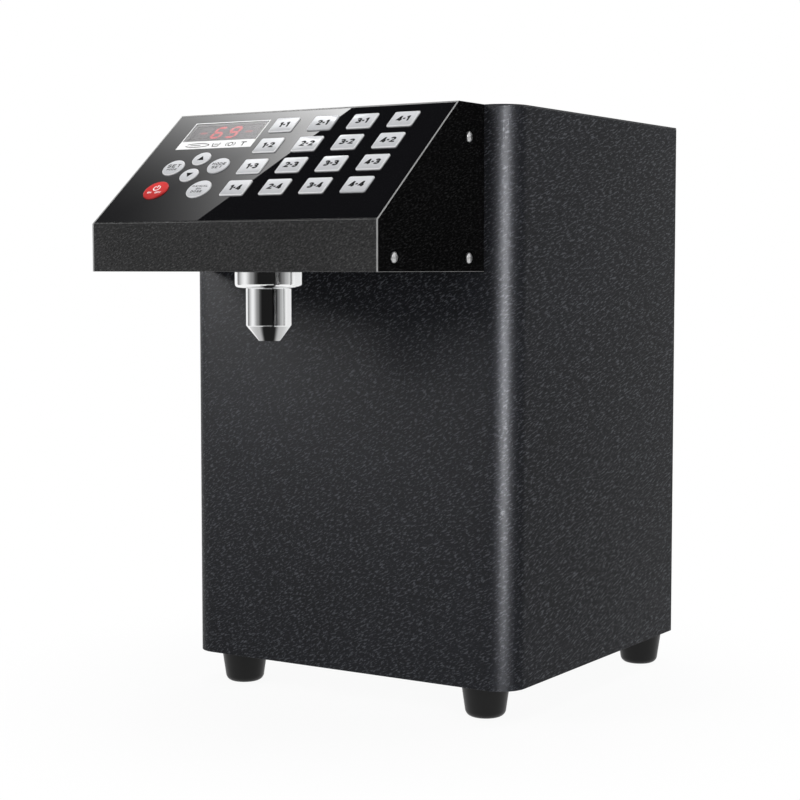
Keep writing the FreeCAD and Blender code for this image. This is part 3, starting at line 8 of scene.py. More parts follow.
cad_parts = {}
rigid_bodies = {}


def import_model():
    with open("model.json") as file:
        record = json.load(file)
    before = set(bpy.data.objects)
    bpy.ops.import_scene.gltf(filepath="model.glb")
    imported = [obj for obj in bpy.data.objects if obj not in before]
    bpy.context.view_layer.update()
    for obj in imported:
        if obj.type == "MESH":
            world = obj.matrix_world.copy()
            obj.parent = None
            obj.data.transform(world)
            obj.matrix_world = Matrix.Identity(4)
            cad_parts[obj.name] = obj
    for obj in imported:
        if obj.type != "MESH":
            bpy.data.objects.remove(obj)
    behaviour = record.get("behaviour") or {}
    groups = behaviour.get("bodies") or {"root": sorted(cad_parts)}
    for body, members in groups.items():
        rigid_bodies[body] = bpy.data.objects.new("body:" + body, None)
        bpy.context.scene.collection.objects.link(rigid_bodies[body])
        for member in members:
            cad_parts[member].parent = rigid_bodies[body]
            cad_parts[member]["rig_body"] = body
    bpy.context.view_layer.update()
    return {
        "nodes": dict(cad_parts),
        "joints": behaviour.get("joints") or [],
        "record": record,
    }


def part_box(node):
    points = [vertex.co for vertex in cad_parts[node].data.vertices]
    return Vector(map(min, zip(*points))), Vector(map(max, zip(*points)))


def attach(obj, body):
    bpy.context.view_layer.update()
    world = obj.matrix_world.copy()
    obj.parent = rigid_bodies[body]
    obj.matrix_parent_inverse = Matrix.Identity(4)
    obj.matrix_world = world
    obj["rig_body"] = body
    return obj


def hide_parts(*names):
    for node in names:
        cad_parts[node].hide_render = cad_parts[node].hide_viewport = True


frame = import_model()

# Fructose dispenser: finishes, broken edges, screws, key legends, display and studio for the
# packed casing, head, tank and pump. Metres. The front faces -Y, +Z is up, the floor is at z = 0.

MM = 0.001
WELD = 2e-6  # corners of a CAD mesh closer than this are one
FLAT = math.radians(0.1)  # facets within this angle are one flat face
CREASE = math.radians(35)  # edges sharper than this get broken
PRINT = 0.03 * MM  # thickness of printed ink
WHITE = (1, 1, 1, 1)

NODES = frame["nodes"]
SLOT_OF = {part["node"]: part["material_slot"] for part in frame["record"]["subparts"]}
KEY_JOINTS = {joint["child"]: joint for joint in frame["joints"]
              if joint["name"].endswith("_press")}

# The head's slope: X across, Y up the slope, Z out of it
OUT = -Vector(KEY_JOINTS["power_button"]["axis"]).normalized()
ACROSS = Vector((1, 0, 0))
UPHILL = OUT.cross(ACROSS)
SLOPE_TURN = Matrix((ACROSS, UPHILL, OUT)).transposed().to_4x4()


# ---- shader nodes
NOISE_SPAN = (0.3, 0.7)  # between these lies nearly all of a noise
MIDDLE_SPAN = (0.35, 0.65)  # and between these most of it
MIX_SHARE, MIX_FIRST, MIX_SECOND, MIX_RESULT = 0, 6, 7, 2  # colour sockets of a Mix node


def put(node, socket, value):
    """Set a socket to a number or colour, or link it to the output that feeds it."""
    if isinstance(value, bpy.types.NodeSocket):
        node.id_data.links.new(value, node.inputs[socket])
    else:
        node.inputs[socket].default_value = value


def add(tree, kind, sockets=None, **settings):
    """New node with its settings and its sockets' values."""
    made = tree.nodes.new(kind)
    for name, value in settings.items():
        setattr(made, name, value)
    for socket, value in (sockets or {}).items():
        put(made, socket, value)
    return made


def colour(rgb, share=1.0):
    """Colour with its alpha, darkened or paled by a share."""
    return tuple(share * value for value in rgb) + (1.0,)


def mixed(tree, share, first, second):
    """Colour between two colours."""
    sockets = {MIX_SHARE: share, MIX_FIRST: first, MIX_SECOND: second}
    return add(tree, "ShaderNodeMix", sockets, data_type="RGBA").outputs[MIX_RESULT]


def worked(tree, operation, *values):
    """Result of a math node."""
    return add(tree, "ShaderNodeMath", dict(enumerate(values)), operation=operation).outputs[0]


def ranged(tree, value, low, high, to_low=0.0, to_high=1.0):
    """Value carried from one range to another, eased and held at its ends."""
    sockets = {"Value": value, "From Min": low, "From Max": high, "To Min": to_low,
               "To Max": to_high}
    return add(tree, "ShaderNodeMapRange", sockets, interpolation_type="SMOOTHSTEP").outputs[0]


def object_place(tree, scale=(1, 1, 1)):
    """Place on the piece, scaled along its axes."""
    place = add(tree, "ShaderNodeTexCoord").outputs["Object"]
    return add(tree, "ShaderNodeMapping", {"Vector": place, "Scale": scale}).outputs[0]


def noise(tree, place, scale, detail=2.0, roughness=0.5, distortion=0.0):
    """Noise from 0 to 1, with so many cells to a unit of the place."""
    sockets = {"Vector": place, "Scale": scale, "Detail": detail, "Roughness": roughness,
               "Distortion": distortion}
    return add(tree, "ShaderNodeTexNoise", sockets).outputs[0]


def patches(tree, scale, detail=2.0, roughness=0.5):
    """Noise all over the piece, with so many cells a metre."""
    return noise(tree, object_place(tree), scale, detail, roughness)


def tinted(shader, share, first, second):
    """Colour of a finish, between two colours."""
    put(shader, "Base Color", mixed(shader.id_data, share, first, second))


def roughened(shader, value, low, high, at_low, at_high):
    """Roughness of a finish, from one level at a value's low end to another at its high end."""
    put(shader, "Roughness", ranged(shader.id_data, value, low, high, at_low, at_high))


def bumped(shader, height, depth, strength):
    """Relief of a finish, as deep as depth."""
    sockets = {"Height": height, "Distance": depth, "Strength": strength}
    put(shader, "Normal", add(shader.id_data, "ShaderNodeBump", sockets).outputs[0])


def new_finish(name, **sockets):
    """Material with one principled shader; returns the material, its tree and the shader."""
    material = bpy.data.materials.new(name)
    material.use_nodes = True
    tree = material.node_tree
    shader = tree.nodes["Principled BSDF"]
    for socket, value in sockets.items():
        put(shader, socket.replace("_", " "), value)
    return material, tree, shader


# ---- finishes
GRAIN_LIFT = math.radians(27)  # the coat's wrinkles climb to the right by this much
GRAIN_HINGE = -0.07  # Y of the casing's front, where the sides' patterns meet
DEPTH_SHARE = 0.55  # how far the pattern moves on for each metre of depth
FACING_LEFT = -0.01  # a face whose normal's X is below this looks left
CREST_HIGHLIGHT_SPAN = (0.53, 0.66)  # values of the wrinkle noise over which a ridge's painted highlight rises
HOLLOW_SHADE_SPAN = (0.30, 0.48)  # and over which a hollow's painted shade runs out


def coat_place(tree, length, width):
    """Place along each flat face, turned with the wrinkles' climb, in their lengths and widths."""
    coordinate = add(tree, "ShaderNodeTexCoord")
    spot = add(tree, "ShaderNodeSeparateXYZ", {0: coordinate.outputs["Object"]})
    x, y, z = (spot.outputs[axis] for axis in "XYZ")
    normal = add(tree, "ShaderNodeSeparateXYZ", {0: coordinate.outputs["Normal"]})
    lying = worked(tree, "ABSOLUTE", normal.outputs["Z"])
    rightward = worked(tree, "GREATER_THAN", normal.outputs["X"], FACING_LEFT)
    share = worked(tree, "MULTIPLY_ADD", rightward, 2 * DEPTH_SHARE, -DEPTH_SHARE)
    behind = worked(tree, "ADD", y, -GRAIN_HINGE)
    run = worked(tree, "MULTIPLY_ADD", behind, share, x)
    rise = worked(tree, "MULTIPLY_ADD", worked(tree, "SUBTRACT", x, y), lying, z)
    place = add(tree, "ShaderNodeCombineXYZ", {"X": run, "Y": rise}).outputs[0]
    turned = add(tree, "ShaderNodeVectorRotate", {"Vector": place, "Angle": -GRAIN_LIFT},
                 rotation_type="Z_AXIS").outputs[0]
    scale = (1 / length, 1 / width, 1.0)
    return add(tree, "ShaderNodeMapping", {"Vector": turned, "Scale": scale}).outputs[0]


def powder_coat(name, ground, ridge_highlight, share=0.68, length=3.2 * MM, width=1.1 * MM, specular=0.05):
    """Wrinkle-grain powder coat: short slanted ridges with a painted highlight in their colour,
    and painted shade in the hollows beside them; share is how far a crest takes the ridge's
    colour."""
    material, tree, shader = new_finish(name, Specular_IOR_Level=specular)
    wrinkle = noise(tree, coat_place(tree, length, width), 1.0, 2.0, 0.55, 0.6)
    # painted highlight: the crests take the lighter ridge colour, as if they caught the light
    crest_highlight = ranged(tree, wrinkle, *CREST_HIGHLIGHT_SPAN, 0.0, share)
    # painted shade: the coat darkens towards a third of its ground colour in the hollows beside
    # the ridges
    hollow_shade = ranged(tree, wrinkle, *HOLLOW_SHADE_SPAN, 0.7, 0.0)
    cloud = ranged(tree, patches(tree, 9.0, 3.0), *MIDDLE_SPAN)
    level = mixed(tree, cloud, colour(ground, 0.8), colour(ground))
    tinted(shader, crest_highlight, mixed(tree, hollow_shade, level, colour(ground, 0.3)), colour(ridge_highlight))
    roughened(shader, wrinkle, 0.35, 0.7, 0.44, 0.32)
    bumped(shader, wrinkle, 0.15 * MM, 0.4)
    return material


def edge_wear_and_highlight_coat(name, tone):
    """Coat along folded and cut edges, painted pale as an edge highlight, with patches of random
    wear.
    """
    material, tree, shader = new_finish(name, Specular_IOR_Level=0.5)
    wear = patches(tree, 260.0, 3.0, 0.6)
    tinted(shader, ranged(tree, wear, *NOISE_SPAN), colour(tone), colour(tone, 1.2))
    roughened(shader, wear, *NOISE_SPAN, 0.42, 0.3)
    bumped(shader, wear, 0.03 * MM, 0.4)
    return material


def polished_chrome(name):
    """Chrome with faint upright smears."""
    material, tree, shader = new_finish(name, Metallic=1.0)
    smear = noise(tree, object_place(tree, (1, 1, 0.3)), 120.0, 3.0)
    tinted(shader, smear, (0.86, 0.87, 0.88, 1), (0.93, 0.93, 0.93, 1))
    roughened(shader, smear, 0.35, 0.75, 0.045, 0.10)
    return material


def brushed_metal(name, tone, run, rough=0.3, stroke=40.0 * MM, hair=0.25 * MM):
    """Metal brushed along one axis, 0, 1 or 2, in strokes of one length and hairs of one width."""
    material, tree, shader = new_finish(name, Metallic=1.0)
    scale = [1 / hair] * 3
    scale[run] = 1 / stroke
    hairline = noise(tree, object_place(tree, scale), 1.0, 2.0, 0.6)
    tinted(shader, ranged(tree, hairline, *NOISE_SPAN), colour(tone, 0.82), colour(tone))
    uneven = worked(tree, "MULTIPLY", hairline, patches(tree, 14.0))
    roughened(shader, uneven, 0.1, 0.4, rough - 0.07, rough + 0.12)
    bumped(shader, hairline, 0.02 * MM, 0.35)
    return material


def zinc_plate(name, tone):
    """Zinc-plated sheet with a faint crystal pattern."""
    material, tree, shader = new_finish(name, Metallic=1.0)
    crystals = add(tree, "ShaderNodeTexVoronoi", {"Vector": object_place(tree), "Scale": 130.0})
    value = add(tree, "ShaderNodeSeparateColor", {"Color": crystals.outputs["Color"]}).outputs[0]
    tinted(shader, value, colour(tone, 0.75), colour(tone))
    roughened(shader, value, 0.0, 1.0, 0.32, 0.5)
    return material


def moulded(name, tone, rough, grain=0.35 * MM, depth=0.03 * MM, specular=0.5):
    """Moulded plastic or rubber with a fine spark-eroded grain."""
    material, tree, shader = new_finish(name, Specular_IOR_Level=specular)
    grit = patches(tree, 1 / grain, 2.0, 0.6)
    cloud = ranged(tree, patches(tree, 30.0, 3.0), *NOISE_SPAN)
    tinted(shader, cloud, colour(tone, 0.85), colour(tone))
    roughened(shader, grit, *NOISE_SPAN, rough - 0.05, rough + 0.07)
    bumped(shader, grit, depth, 0.6)
    return material


def gloss_film(name, tone):
    """Glossy printed film, very slightly wavy and dusty."""
    material, tree, shader = new_finish(name, Specular_IOR_Level=0.5, Coat_Weight=0.6,
                                        Coat_Roughness=0.01)
    wave = patches(tree, 22.0, 1.0)
    dust = ranged(tree, patches(tree, 900.0, 2.0, 0.7), 0.6, 0.8)
    tinted(shader, dust, colour(tone), colour([value + 0.006 for value in tone]))
    roughened(shader, wave, *NOISE_SPAN, 0.005, 0.02)
    bumped(shader, wave, 0.01 * MM, 0.1)
    return material


def smoked_lens(name):
    """Clear lens with a faint grey smoke."""
    material, tree, shader = new_finish(name, Transmission_Weight=0.9, IOR=1.45)
    haze = patches(tree, 60.0)
    tinted(shader, haze, (0.74, 0.72, 0.73, 1), (0.80, 0.79, 0.80, 1))
    roughened(shader, haze, *NOISE_SPAN, 0.02, 0.05)
    return material


def silver_key(name, tone):
    """Satin key lacquer under a clear film, with painted shade that darkens it towards the key's
    lower edge.
    """
    material, tree, shader = new_finish(name, Specular_IOR_Level=0.3, Coat_Weight=0.8,
                                        Coat_Roughness=0.04)
    pearl = patches(tree, 500.0, 3.0, 0.6)
    rise = add(tree, "ShaderNodeAttribute", attribute_name="rise").outputs["Fac"]
    # painted shade: the lacquer darkens towards the key's lower edge
    shade = ranged(tree, worked(tree, "MULTIPLY_ADD", pearl, 0.25, rise), 0.0, 1.1)
    tinted(shader, shade, colour(tone, 0.66), colour(tone))
    roughened(shader, pearl, *NOISE_SPAN, 0.34, 0.46)
    bumped(shader, pearl, 0.01 * MM, 0.3)
    return material


def printed_ink(name, tone, rough=0.45, specular=0.4):
    """Screen-printed ink, finely speckled."""
    material, tree, shader = new_finish(name, Specular_IOR_Level=specular)
    speck = patches(tree, 1500.0)
    worn = colour([value * 0.92 + 0.004 for value in tone])
    tinted(shader, ranged(tree, speck, *MIDDLE_SPAN), colour(tone), worn)
    roughened(shader, speck, *NOISE_SPAN, rough - 0.05, rough + 0.05)
    return material


def lit_segment(name, tone, glow):
    """Translucent display segment, lit from behind."""
    material, tree, shader = new_finish(name, Emission_Strength=glow, Emission_Color=colour(tone))
    grain = patches(tree, 900.0, 1.0)
    tinted(shader, grain, colour(tone, 0.8), colour(tone))
    roughened(shader, grain, *NOISE_SPAN, 0.4, 0.5)
    return material


def circuit_board(name):
    """Green solder mask with faint tracks under it."""
    material, tree, shader = new_finish(name, Coat_Weight=0.4, Coat_Roughness=0.2)
    tracks = add(tree, "ShaderNodeTexBrick",
                 {"Vector": object_place(tree), "Scale": 120.0, "Mortar Size": 0.05,
                  "Color1": (0.02, 0.16, 0.06, 1), "Color2": (0.03, 0.20, 0.08, 1),
                  "Mortar": (0.06, 0.30, 0.12, 1)})
    put(shader, "Base Color", tracks.outputs["Color"])
    roughened(shader, patches(tree, 200.0), *NOISE_SPAN, 0.3, 0.45)
    return material


def silicone(name, tone, clear=0.0):
    """Milky silicone with a soft skin."""
    material, tree, shader = new_finish(name, Subsurface_Weight=0.25, Transmission_Weight=clear,
                                        Subsurface_Radius=[2 * MM] * 3)
    cloud = patches(tree, 45.0, 3.0)
    tinted(shader, cloud, colour(tone, 0.88), colour(tone))
    roughened(shader, cloud, *NOISE_SPAN, 0.38, 0.5)
    return material


RECIPES = {  # maker of each slot's finish, and what it takes after the name
    # each powder coat's second colour is the painted highlight on its ridges
    "casing_powder_coat": (powder_coat, (0.0088, 0.0096, 0.0124), (0.094, 0.099, 0.112)),
    "head_powder_coat": (powder_coat, (0.034, 0.034, 0.0345), (0.120, 0.120, 0.122), 0.42,
                         2.1 * MM, 0.85 * MM),
    "cheek_powder_coat": (powder_coat, (0.0040, 0.0040, 0.0041), (0.034, 0.034, 0.035), 0.42,
                          1.9 * MM, 0.8 * MM, 0.0),
    "zinc_steel": (zinc_plate, (0.62, 0.63, 0.63)),
    "stainless_sheet": (brushed_metal, (0.66, 0.66, 0.65), 0),
    "screw_steel": (brushed_metal, (0.62, 0.62, 0.62), 2, 0.3, 2 * MM, 0.3 * MM),
    "nozzle_chrome": (polished_chrome,),
    "fitting_steel": (brushed_metal, (0.70, 0.70, 0.69), 0, 0.25, 8 * MM),
    "foot_rubber": (moulded, (0.005, 0.005, 0.0052), 0.36, 0.5 * MM, 0.03 * MM, 0.22),
    "seal_silicone": (silicone, (0.72, 0.72, 0.70)),
    "heater_silicone": (silicone, (0.62, 0.22, 0.10)),
    "hose_silicone": (silicone, (0.82, 0.82, 0.79), 0.3),
    "overlay_gloss": (gloss_film, (0.006, 0.006, 0.007)),
    "lens_smoke": (smoked_lens,),
    "module_plastic": (moulded, (0.02, 0.02, 0.021), 0.4),
    "board_laminate": (circuit_board,),
    "key_silver": (silver_key, (0.70, 0.71, 0.735)),
    "key_red": (silver_key, (0.72, 0.012, 0.012)),
    "pump_plastic": (moulded, (0.70, 0.69, 0.64), 0.45),
    "gear_plastic": (moulded, (0.86, 0.85, 0.80), 0.4),
    "shaft_steel": (brushed_metal, (0.74, 0.74, 0.73), 1, 0.2),
    "motor_zinc": (zinc_plate, (0.50, 0.50, 0.49)),
    "supply_case": (brushed_metal, (0.60, 0.60, 0.58), 1, 0.4),
    "fitting_plastic": (moulded, (0.016, 0.016, 0.016), 0.45),
    "rocker_plastic": (moulded, (0.022, 0.022, 0.022), 0.3, 0.6 * MM, 0.01 * MM),
}
FINISHES = {name: maker(name, *details) for name, (maker, *details) in RECIPES.items()}
# Edge coats: pale tones that paint the highlight along the head's, cheeks' and casing's edges
HEAD_EDGE_HIGHLIGHT = edge_wear_and_highlight_coat("head_edge", (0.26, 0.26, 0.26))
HEAD_FOLD_HIGHLIGHT = edge_wear_and_highlight_coat("head_fold", (0.42, 0.42, 0.42))
CHEEK_EDGE_HIGHLIGHT = edge_wear_and_highlight_coat("cheek_edge", (0.27, 0.27, 0.27))
CASING_EDGE_HIGHLIGHT = edge_wear_and_highlight_coat("casing_edge", (0.030, 0.031, 0.034))
# painted highlight on the keys' bevelled rims
KEY_RIM_HIGHLIGHT = printed_ink("key_rim", (0.80, 0.80, 0.81), 0.3)
BLACK_INK = printed_ink("black_ink", (0.006, 0.006, 0.006), 0.5, 0.05)
WHITE_INK = printed_ink("white_ink", (0.93, 0.93, 0.93))
RED_LIGHT = lit_segment("red_light", (0.62, 0.018, 0.026), 1.1)
FAINT_LIGHT = lit_segment("faint_light", (0.42, 0.03, 0.035), 0.4)
DARK_SEGMENT = printed_ink("dark_segment", (0.30, 0.28, 0.28))


# ---- pieces
def new_object(name, data):
    obj = bpy.data.objects.new(name, data)
    bpy.context.scene.collection.objects.link(obj)
    return obj


def fasten(obj, body, slot, *replaced):
    """Ride on a body and stand for CAD nodes, which it hides; slot is not used."""
    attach(obj, body)
    if replaced:
        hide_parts(*replaced)
    return obj


def settled(obj):
    """Swap an object with live modifiers for one with their result as a plain mesh."""
    graph = bpy.context.evaluated_depsgraph_get()
    mesh = bpy.data.meshes.new_from_object(obj.evaluated_get(graph))
    name = obj.name
    bpy.data.objects.remove(obj)
    mesh.name = name
    return new_object(name, mesh)


def welded(node):
    """Closed shell of a CAD node."""
    shell = bmesh.new()
    shell.from_mesh(NODES[node].data)
    bmesh.ops.remove_doubles(shell, verts=shell.verts, dist=WELD)
    return shell


def flattened(node):
    """Closed shell of a CAD node, its flat facets joined."""
    shell = welded(node)
    bmesh.ops.dissolve_limit(shell, angle_limit=FLAT, verts=shell.verts, edges=shell.edges)
    return shell


def meshed(shell, name):
    """Mesh of a shell, which is freed."""
    mesh = bpy.data.meshes.new(name)
    shell.to_mesh(mesh)
    shell.free()
    return mesh


def ringed(shell, low, high):
    """Faces between two closed rows of corners."""
    return [shell.faces.new(corners)
            for corners in zip(low, low[1:] + low[:1], high[1:] + high[:1], high)]


END_FACE = 0.05  # a turned piece's face that leans out less than this is an end
AXIS_REACH = 0.1 * MM  # points nearer its axis than this keep their face's normal


def shaded_round(mesh):
    """Shade a turned piece as truly round about the upright axis through its middle."""
    centre = sum((vert.co for vert in mesh.vertices), Vector()) / len(mesh.vertices)
    normals = []
    for face in mesh.polygons:
        level = Vector((face.normal.x, face.normal.y, 0))
        for index in face.loop_indices:
            spoke = mesh.vertices[mesh.loops[index].vertex_index].co - centre
            spoke.z = 0
            if level.length < END_FACE or spoke.length < AXIS_REACH:
                normals.append(face.normal.copy())
                continue
            side = 1 if level.dot(spoke) > 0 else -1
            around = spoke.normalized() * level.length * side
            normals.append(Vector((around.x, around.y, face.normal.z)).normalized())
    mesh.normals_split_custom_set(normals)


def dressed(node, edge, finish=None, rim=None, segments=2, highlight_faces=None, turned=False):
    """Node with its edges broken by a width and its curves shaded smooth; rim is the finish of
    its edges and of the faces picked by their normal, mostly a coat with a painted edge highlight."""
    mesh = meshed(flattened(node), node)
    mesh.materials.clear()
    mesh.materials.append(finish or FINISHES[SLOT_OF[node]])
    mesh.materials.append(rim or mesh.materials[0])
    picked = [int(highlight_faces is not None and highlight_faces(face.normal)) for face in mesh.polygons]
    mesh.polygons.foreach_set("material_index", picked)
    mesh.shade_smooth()
    mesh.set_sharp_from_angle(angle=CREASE)
    obj = new_object("dressed_" + node, mesh)
    bevel = obj.modifiers.new("broken_edge", "BEVEL")
    bevel.width = edge
    bevel.segments = segments
    bevel.limit_method = "ANGLE"
    bevel.angle_limit = CREASE
    bevel.material = 1
    bevel.harden_normals = True
    obj = settled(obj)
    if turned:
        shaded_round(obj.data)
    return fasten(obj, NODES[node]["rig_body"], SLOT_OF[node], node)


def key_shade_height(mesh):
    """Store how far up its key each point lies, from 0 to 1, for the painted shade on the key's
    lacquer.
    """
    heights = [vert.co.dot(UPHILL) for vert in mesh.vertices]
    low, high = min(heights), max(heights)
    rise = mesh.attributes.new("rise", "FLOAT", "POINT")
    rise.data.foreach_set("value", [(height - low) / (high - low) for height in heights])


def faces_out(normal):
    """Whether a face looks squarely out of the slope."""
    return normal.dot(OUT) > 0.95


def faces_edgeways(normal):
    """Whether a face is the cut edge of an upright sheet."""
    return abs(normal.x) < 0.5


EDGES = {  # broken edge of each plain node, in millimetres
    "top_deck": 0.4, "base_plate": 0.3, "rear_panel": 0.35, "rubber_feet": 0.6,
    "display_window": 0.1, "keypad_overlay": 0.1, "syrup_tank": 0.3, "tank_lid": 0.3,
    "lid_pull": 0.4, "inlet_socket": 0.3, "switch_frame": 0.4, "power_rocker": 0.35,
    "lid_seal": 0.3, "display_module": 0.2,
}
for node, edge in EDGES.items():
    # painted highlight on the broken edges of painted casing parts
    trim_highlight = CASING_EDGE_HIGHLIGHT if SLOT_OF[node] == "casing_powder_coat" else None
    dressed(node, edge * MM, rim=trim_highlight)
CASING_SKIN = dressed("body_wrap", 0.4 * MM, rim=CASING_EDGE_HIGHLIGHT)
for node in ("nozzle_collar", "nozzle_barrel"):
    dressed(node, 0.4 * MM, segments=4, turned=True)
# painted highlight on the head's folds, the frame's faces out of the slope and the cheeks' cut
# edges
dressed("head_tray", 0.8 * MM, rim=HEAD_FOLD_HIGHLIGHT)
dressed("panel_frame", 0.6 * MM, rim=HEAD_EDGE_HIGHLIGHT, highlight_faces=faces_out)
for node in ("left_cheek", "right_cheek"):
    dressed(node, 0.5 * MM, FINISHES["cheek_powder_coat"], CHEEK_EDGE_HIGHLIGHT, highlight_faces=faces_edgeways)
for node in KEY_JOINTS:
    rim = None if node == "power_button" else KEY_RIM_HIGHLIGHT
    key_shade_height(dressed(node, 0.3 * MM, rim=rim, segments=3).data)

for name, obj in NODES.items():
    obj.data.materials.clear()
    obj.data.materials.append(FINISHES[SLOT_OF[name]])


# ---- screws
def screw_seats():
    """(point under the head, way out) of each screw in the CAD node."""
    shell = welded("pan_head_screws")
    shell.verts.ensure_lookup_table()
    seats = []
    left = set(range(len(shell.verts)))
    while left:
        found, front = set(), [left.pop()]
        while front:
            index = front.pop()
            found.add(index)
            for link in shell.verts[index].link_edges:
                other = link.other_vert(shell.verts[index]).index
                if other in left:
                    left.remove(other)
                    front.append(other)
        seats.append(seat_of([shell.verts[index].co.copy() for index in found]))
    shell.free()
    return seats


BRIM_SHARE = 0.98  # points this far out, against the head's radius, are on its brim


def seat_of(points):
    """(point under the head, way out) of one screw from the points of its mesh."""
    low = Vector([min(point[axis] for point in points) for axis in range(3)])
    high = Vector([max(point[axis] for point in points) for axis in range(3)])
    size = high - low
    run = max(range(3), key=lambda axis: size[axis])
    middle = (low + high) / 2

    def off_axis(point):
        away = point - middle
        away[run] = 0
        return away.length

    head_radius = size[(run + 1) % 3] / 2
    brim = [point for point in points if off_axis(point) > head_radius * BRIM_SHARE]
    side = 1 if brim[0][run] > middle[run] else -1
    way = Vector((0, 0, 0))
    way[run] = side
    seat = middle.copy()
    seat[run] = min(point[run] * side for point in brim) * side
    return seat, way


HEAD_RADIUS = 3.7 * MM
HEAD_RISE = 2.2 * MM
HEAD_SKIRT = 0.5 * MM  # straight edge under the dome
DOME_RINGS = (0.04, 0.14, 0.3, 0.6, 1.0)  # places of its rings from the brim to the recess
RECESS_REACH = 1.9 * MM  # from the middle to an arm's end
RECESS_HALF = 0.42 * MM  # half an arm's width
RECESS_DEPTH = 1.1 * MM
RECESS_FLOOR = 0.72  # size of the recess's floor against its mouth
RECESS_TURNS = (0.35, 0.55)  # more directions between an arm's corner and the diagonal


def recess_edge(angle):
    """Distance from the middle of a cross recess to its edge."""
    arm = abs((angle + math.pi / 4) % (math.pi / 2) - math.pi / 4)
    end = RECESS_REACH / math.cos(arm)
    return min(end, RECESS_HALF / math.sin(arm)) if arm > 1e-6 else end


def dome_height(spot):
    """Height of the domed head at a distance from its axis."""
    return HEAD_SKIRT + (HEAD_RISE - HEAD_SKIRT) * math.sqrt(1 - (spot / HEAD_RADIUS) ** 2)


def screw_head():
    """Domed head with a cross recess; its underside is at z = 0."""
    corner = math.atan2(RECESS_HALF, RECESS_REACH)
    quarter = (0.0, corner, *RECESS_TURNS, math.pi / 4)
    quarter += tuple(math.pi / 2 - angle for angle in reversed(quarter[1:-1]))
    angles = [turn * math.pi / 2 + angle for turn in range(4) for angle in quarter]
    edges = [recess_edge(angle) for angle in angles]
    rings = [[(HEAD_RADIUS, 0.0)] * len(angles), [(HEAD_RADIUS, HEAD_SKIRT)] * len(angles)]
    for share in DOME_RINGS:
        spots = [HEAD_RADIUS + (edge - HEAD_RADIUS) * share for edge in edges]
        rings.append([(spot, dome_height(spot)) for spot in spots])
    rings.append([(RECESS_FLOOR * edge, HEAD_RISE - RECESS_DEPTH) for edge in edges])
    shell = bmesh.new()
    rows = [[shell.verts.new((spot * math.cos(angle), spot * math.sin(angle), up))
             for (spot, up), angle in zip(ring, angles)] for ring in rings]
    for low, high in zip(rows, rows[1:]):
        ringed(shell, low, high)
    floor_middle = shell.verts.new((0, 0, HEAD_RISE - RECESS_DEPTH))
    for here, there in zip(rows[-1], rows[-1][1:] + rows[-1][:1]):
        shell.faces.new((here, there, floor_middle))
    shell.faces.new(rows[0][::-1])
    mesh = meshed(shell, "screw_head")
    mesh.shade_smooth()
    mesh.set_sharp_from_angle(angle=CREASE)
    return new_object("screw_head", mesh)


def screw_tree():
    """Geometry nodes that stand a screw head on each point, along its way attribute and turned
    at random up to a largest turn."""
    tree = bpy.data.node_groups.new("screws_on_seats", "GeometryNodeTree")
    for name, way, kind in (("Geometry", "INPUT", "NodeSocketGeometry"),
                            ("Screw head", "INPUT", "NodeSocketObject"),
                            ("Largest turn", "INPUT", "NodeSocketFloat"),
                            ("Geometry", "OUTPUT", "NodeSocketGeometry")):
        tree.interface.new_socket(name, in_out=way, socket_type=kind)
    given = tree.nodes.new("NodeGroupInput")
    way = add(tree, "GeometryNodeInputNamedAttribute", {"Name": "way"}, data_type="FLOAT_VECTOR")
    aligned = add(tree, "FunctionNodeAlignRotationToVector", {"Vector": way.outputs[0]}, axis="Z")
    chance = add(tree, "FunctionNodeRandomValue",
                 {"Max": given.outputs["Largest turn"], "Seed": 7}, data_type="FLOAT")
    spin = add(tree, "FunctionNodeAxisAngleToRotation",
               {"Axis": (0, 0, 1), "Angle": chance.outputs[1]})
    turned = add(tree, "FunctionNodeRotateRotation",
                 {"Rotation": aligned.outputs[0], "Rotate By": spin.outputs[0]},
                 rotation_space="LOCAL")
    source = add(tree, "GeometryNodeObjectInfo", {"Object": given.outputs["Screw head"]})
    placed = add(tree, "GeometryNodeInstanceOnPoints",
                 {"Points": given.outputs["Geometry"], "Instance": source.outputs["Geometry"],
                  "Rotation": turned.outputs[0]})
    real = add(tree, "GeometryNodeRealizeInstances", {"Geometry": placed.outputs[0]})
    painted = add(tree, "GeometryNodeSetMaterial",
                  {"Geometry": real.outputs[0], "Material": FINISHES["screw_steel"]})
    add(tree, "NodeGroupOutput", {0: painted.outputs[0]})
    return tree


def screws():
    """One head on every seat, each turned a little differently."""
    seats = screw_seats()
    mesh = bpy.data.meshes.new("screw_seats")
    mesh.from_pydata([seat for seat, _ in seats], [], [])
    ways = mesh.attributes.new("way", "FLOAT_VECTOR", "POINT")
    ways.data.foreach_set("vector", [value for _, way in seats for value in way])
    obj = new_object("cross_head_screws", mesh)
    head = screw_head()
    modifier = obj.modifiers.new("screws", "NODES")
    modifier.node_group = screw_tree()
    sockets = {item.name: item.identifier for item in modifier.node_group.interface.items_tree
               if item.in_out == "INPUT"}
    modifier[sockets["Screw head"]] = head
    modifier[sockets["Largest turn"]] = math.pi / 2
    obj = settled(obj)
    bpy.data.objects.remove(head)
    obj.data.set_sharp_from_angle(angle=CREASE)
    fasten(obj, "casing", "screw_steel", "pan_head_screws")


screws()


# ---- printing
# Drawings are in millimetres on a face, X across and Y up
SAME_POINT = 0.01  # ends of a line nearer than this close it
MITRE = 0.6  # least cosine that a line's corner is drawn out to


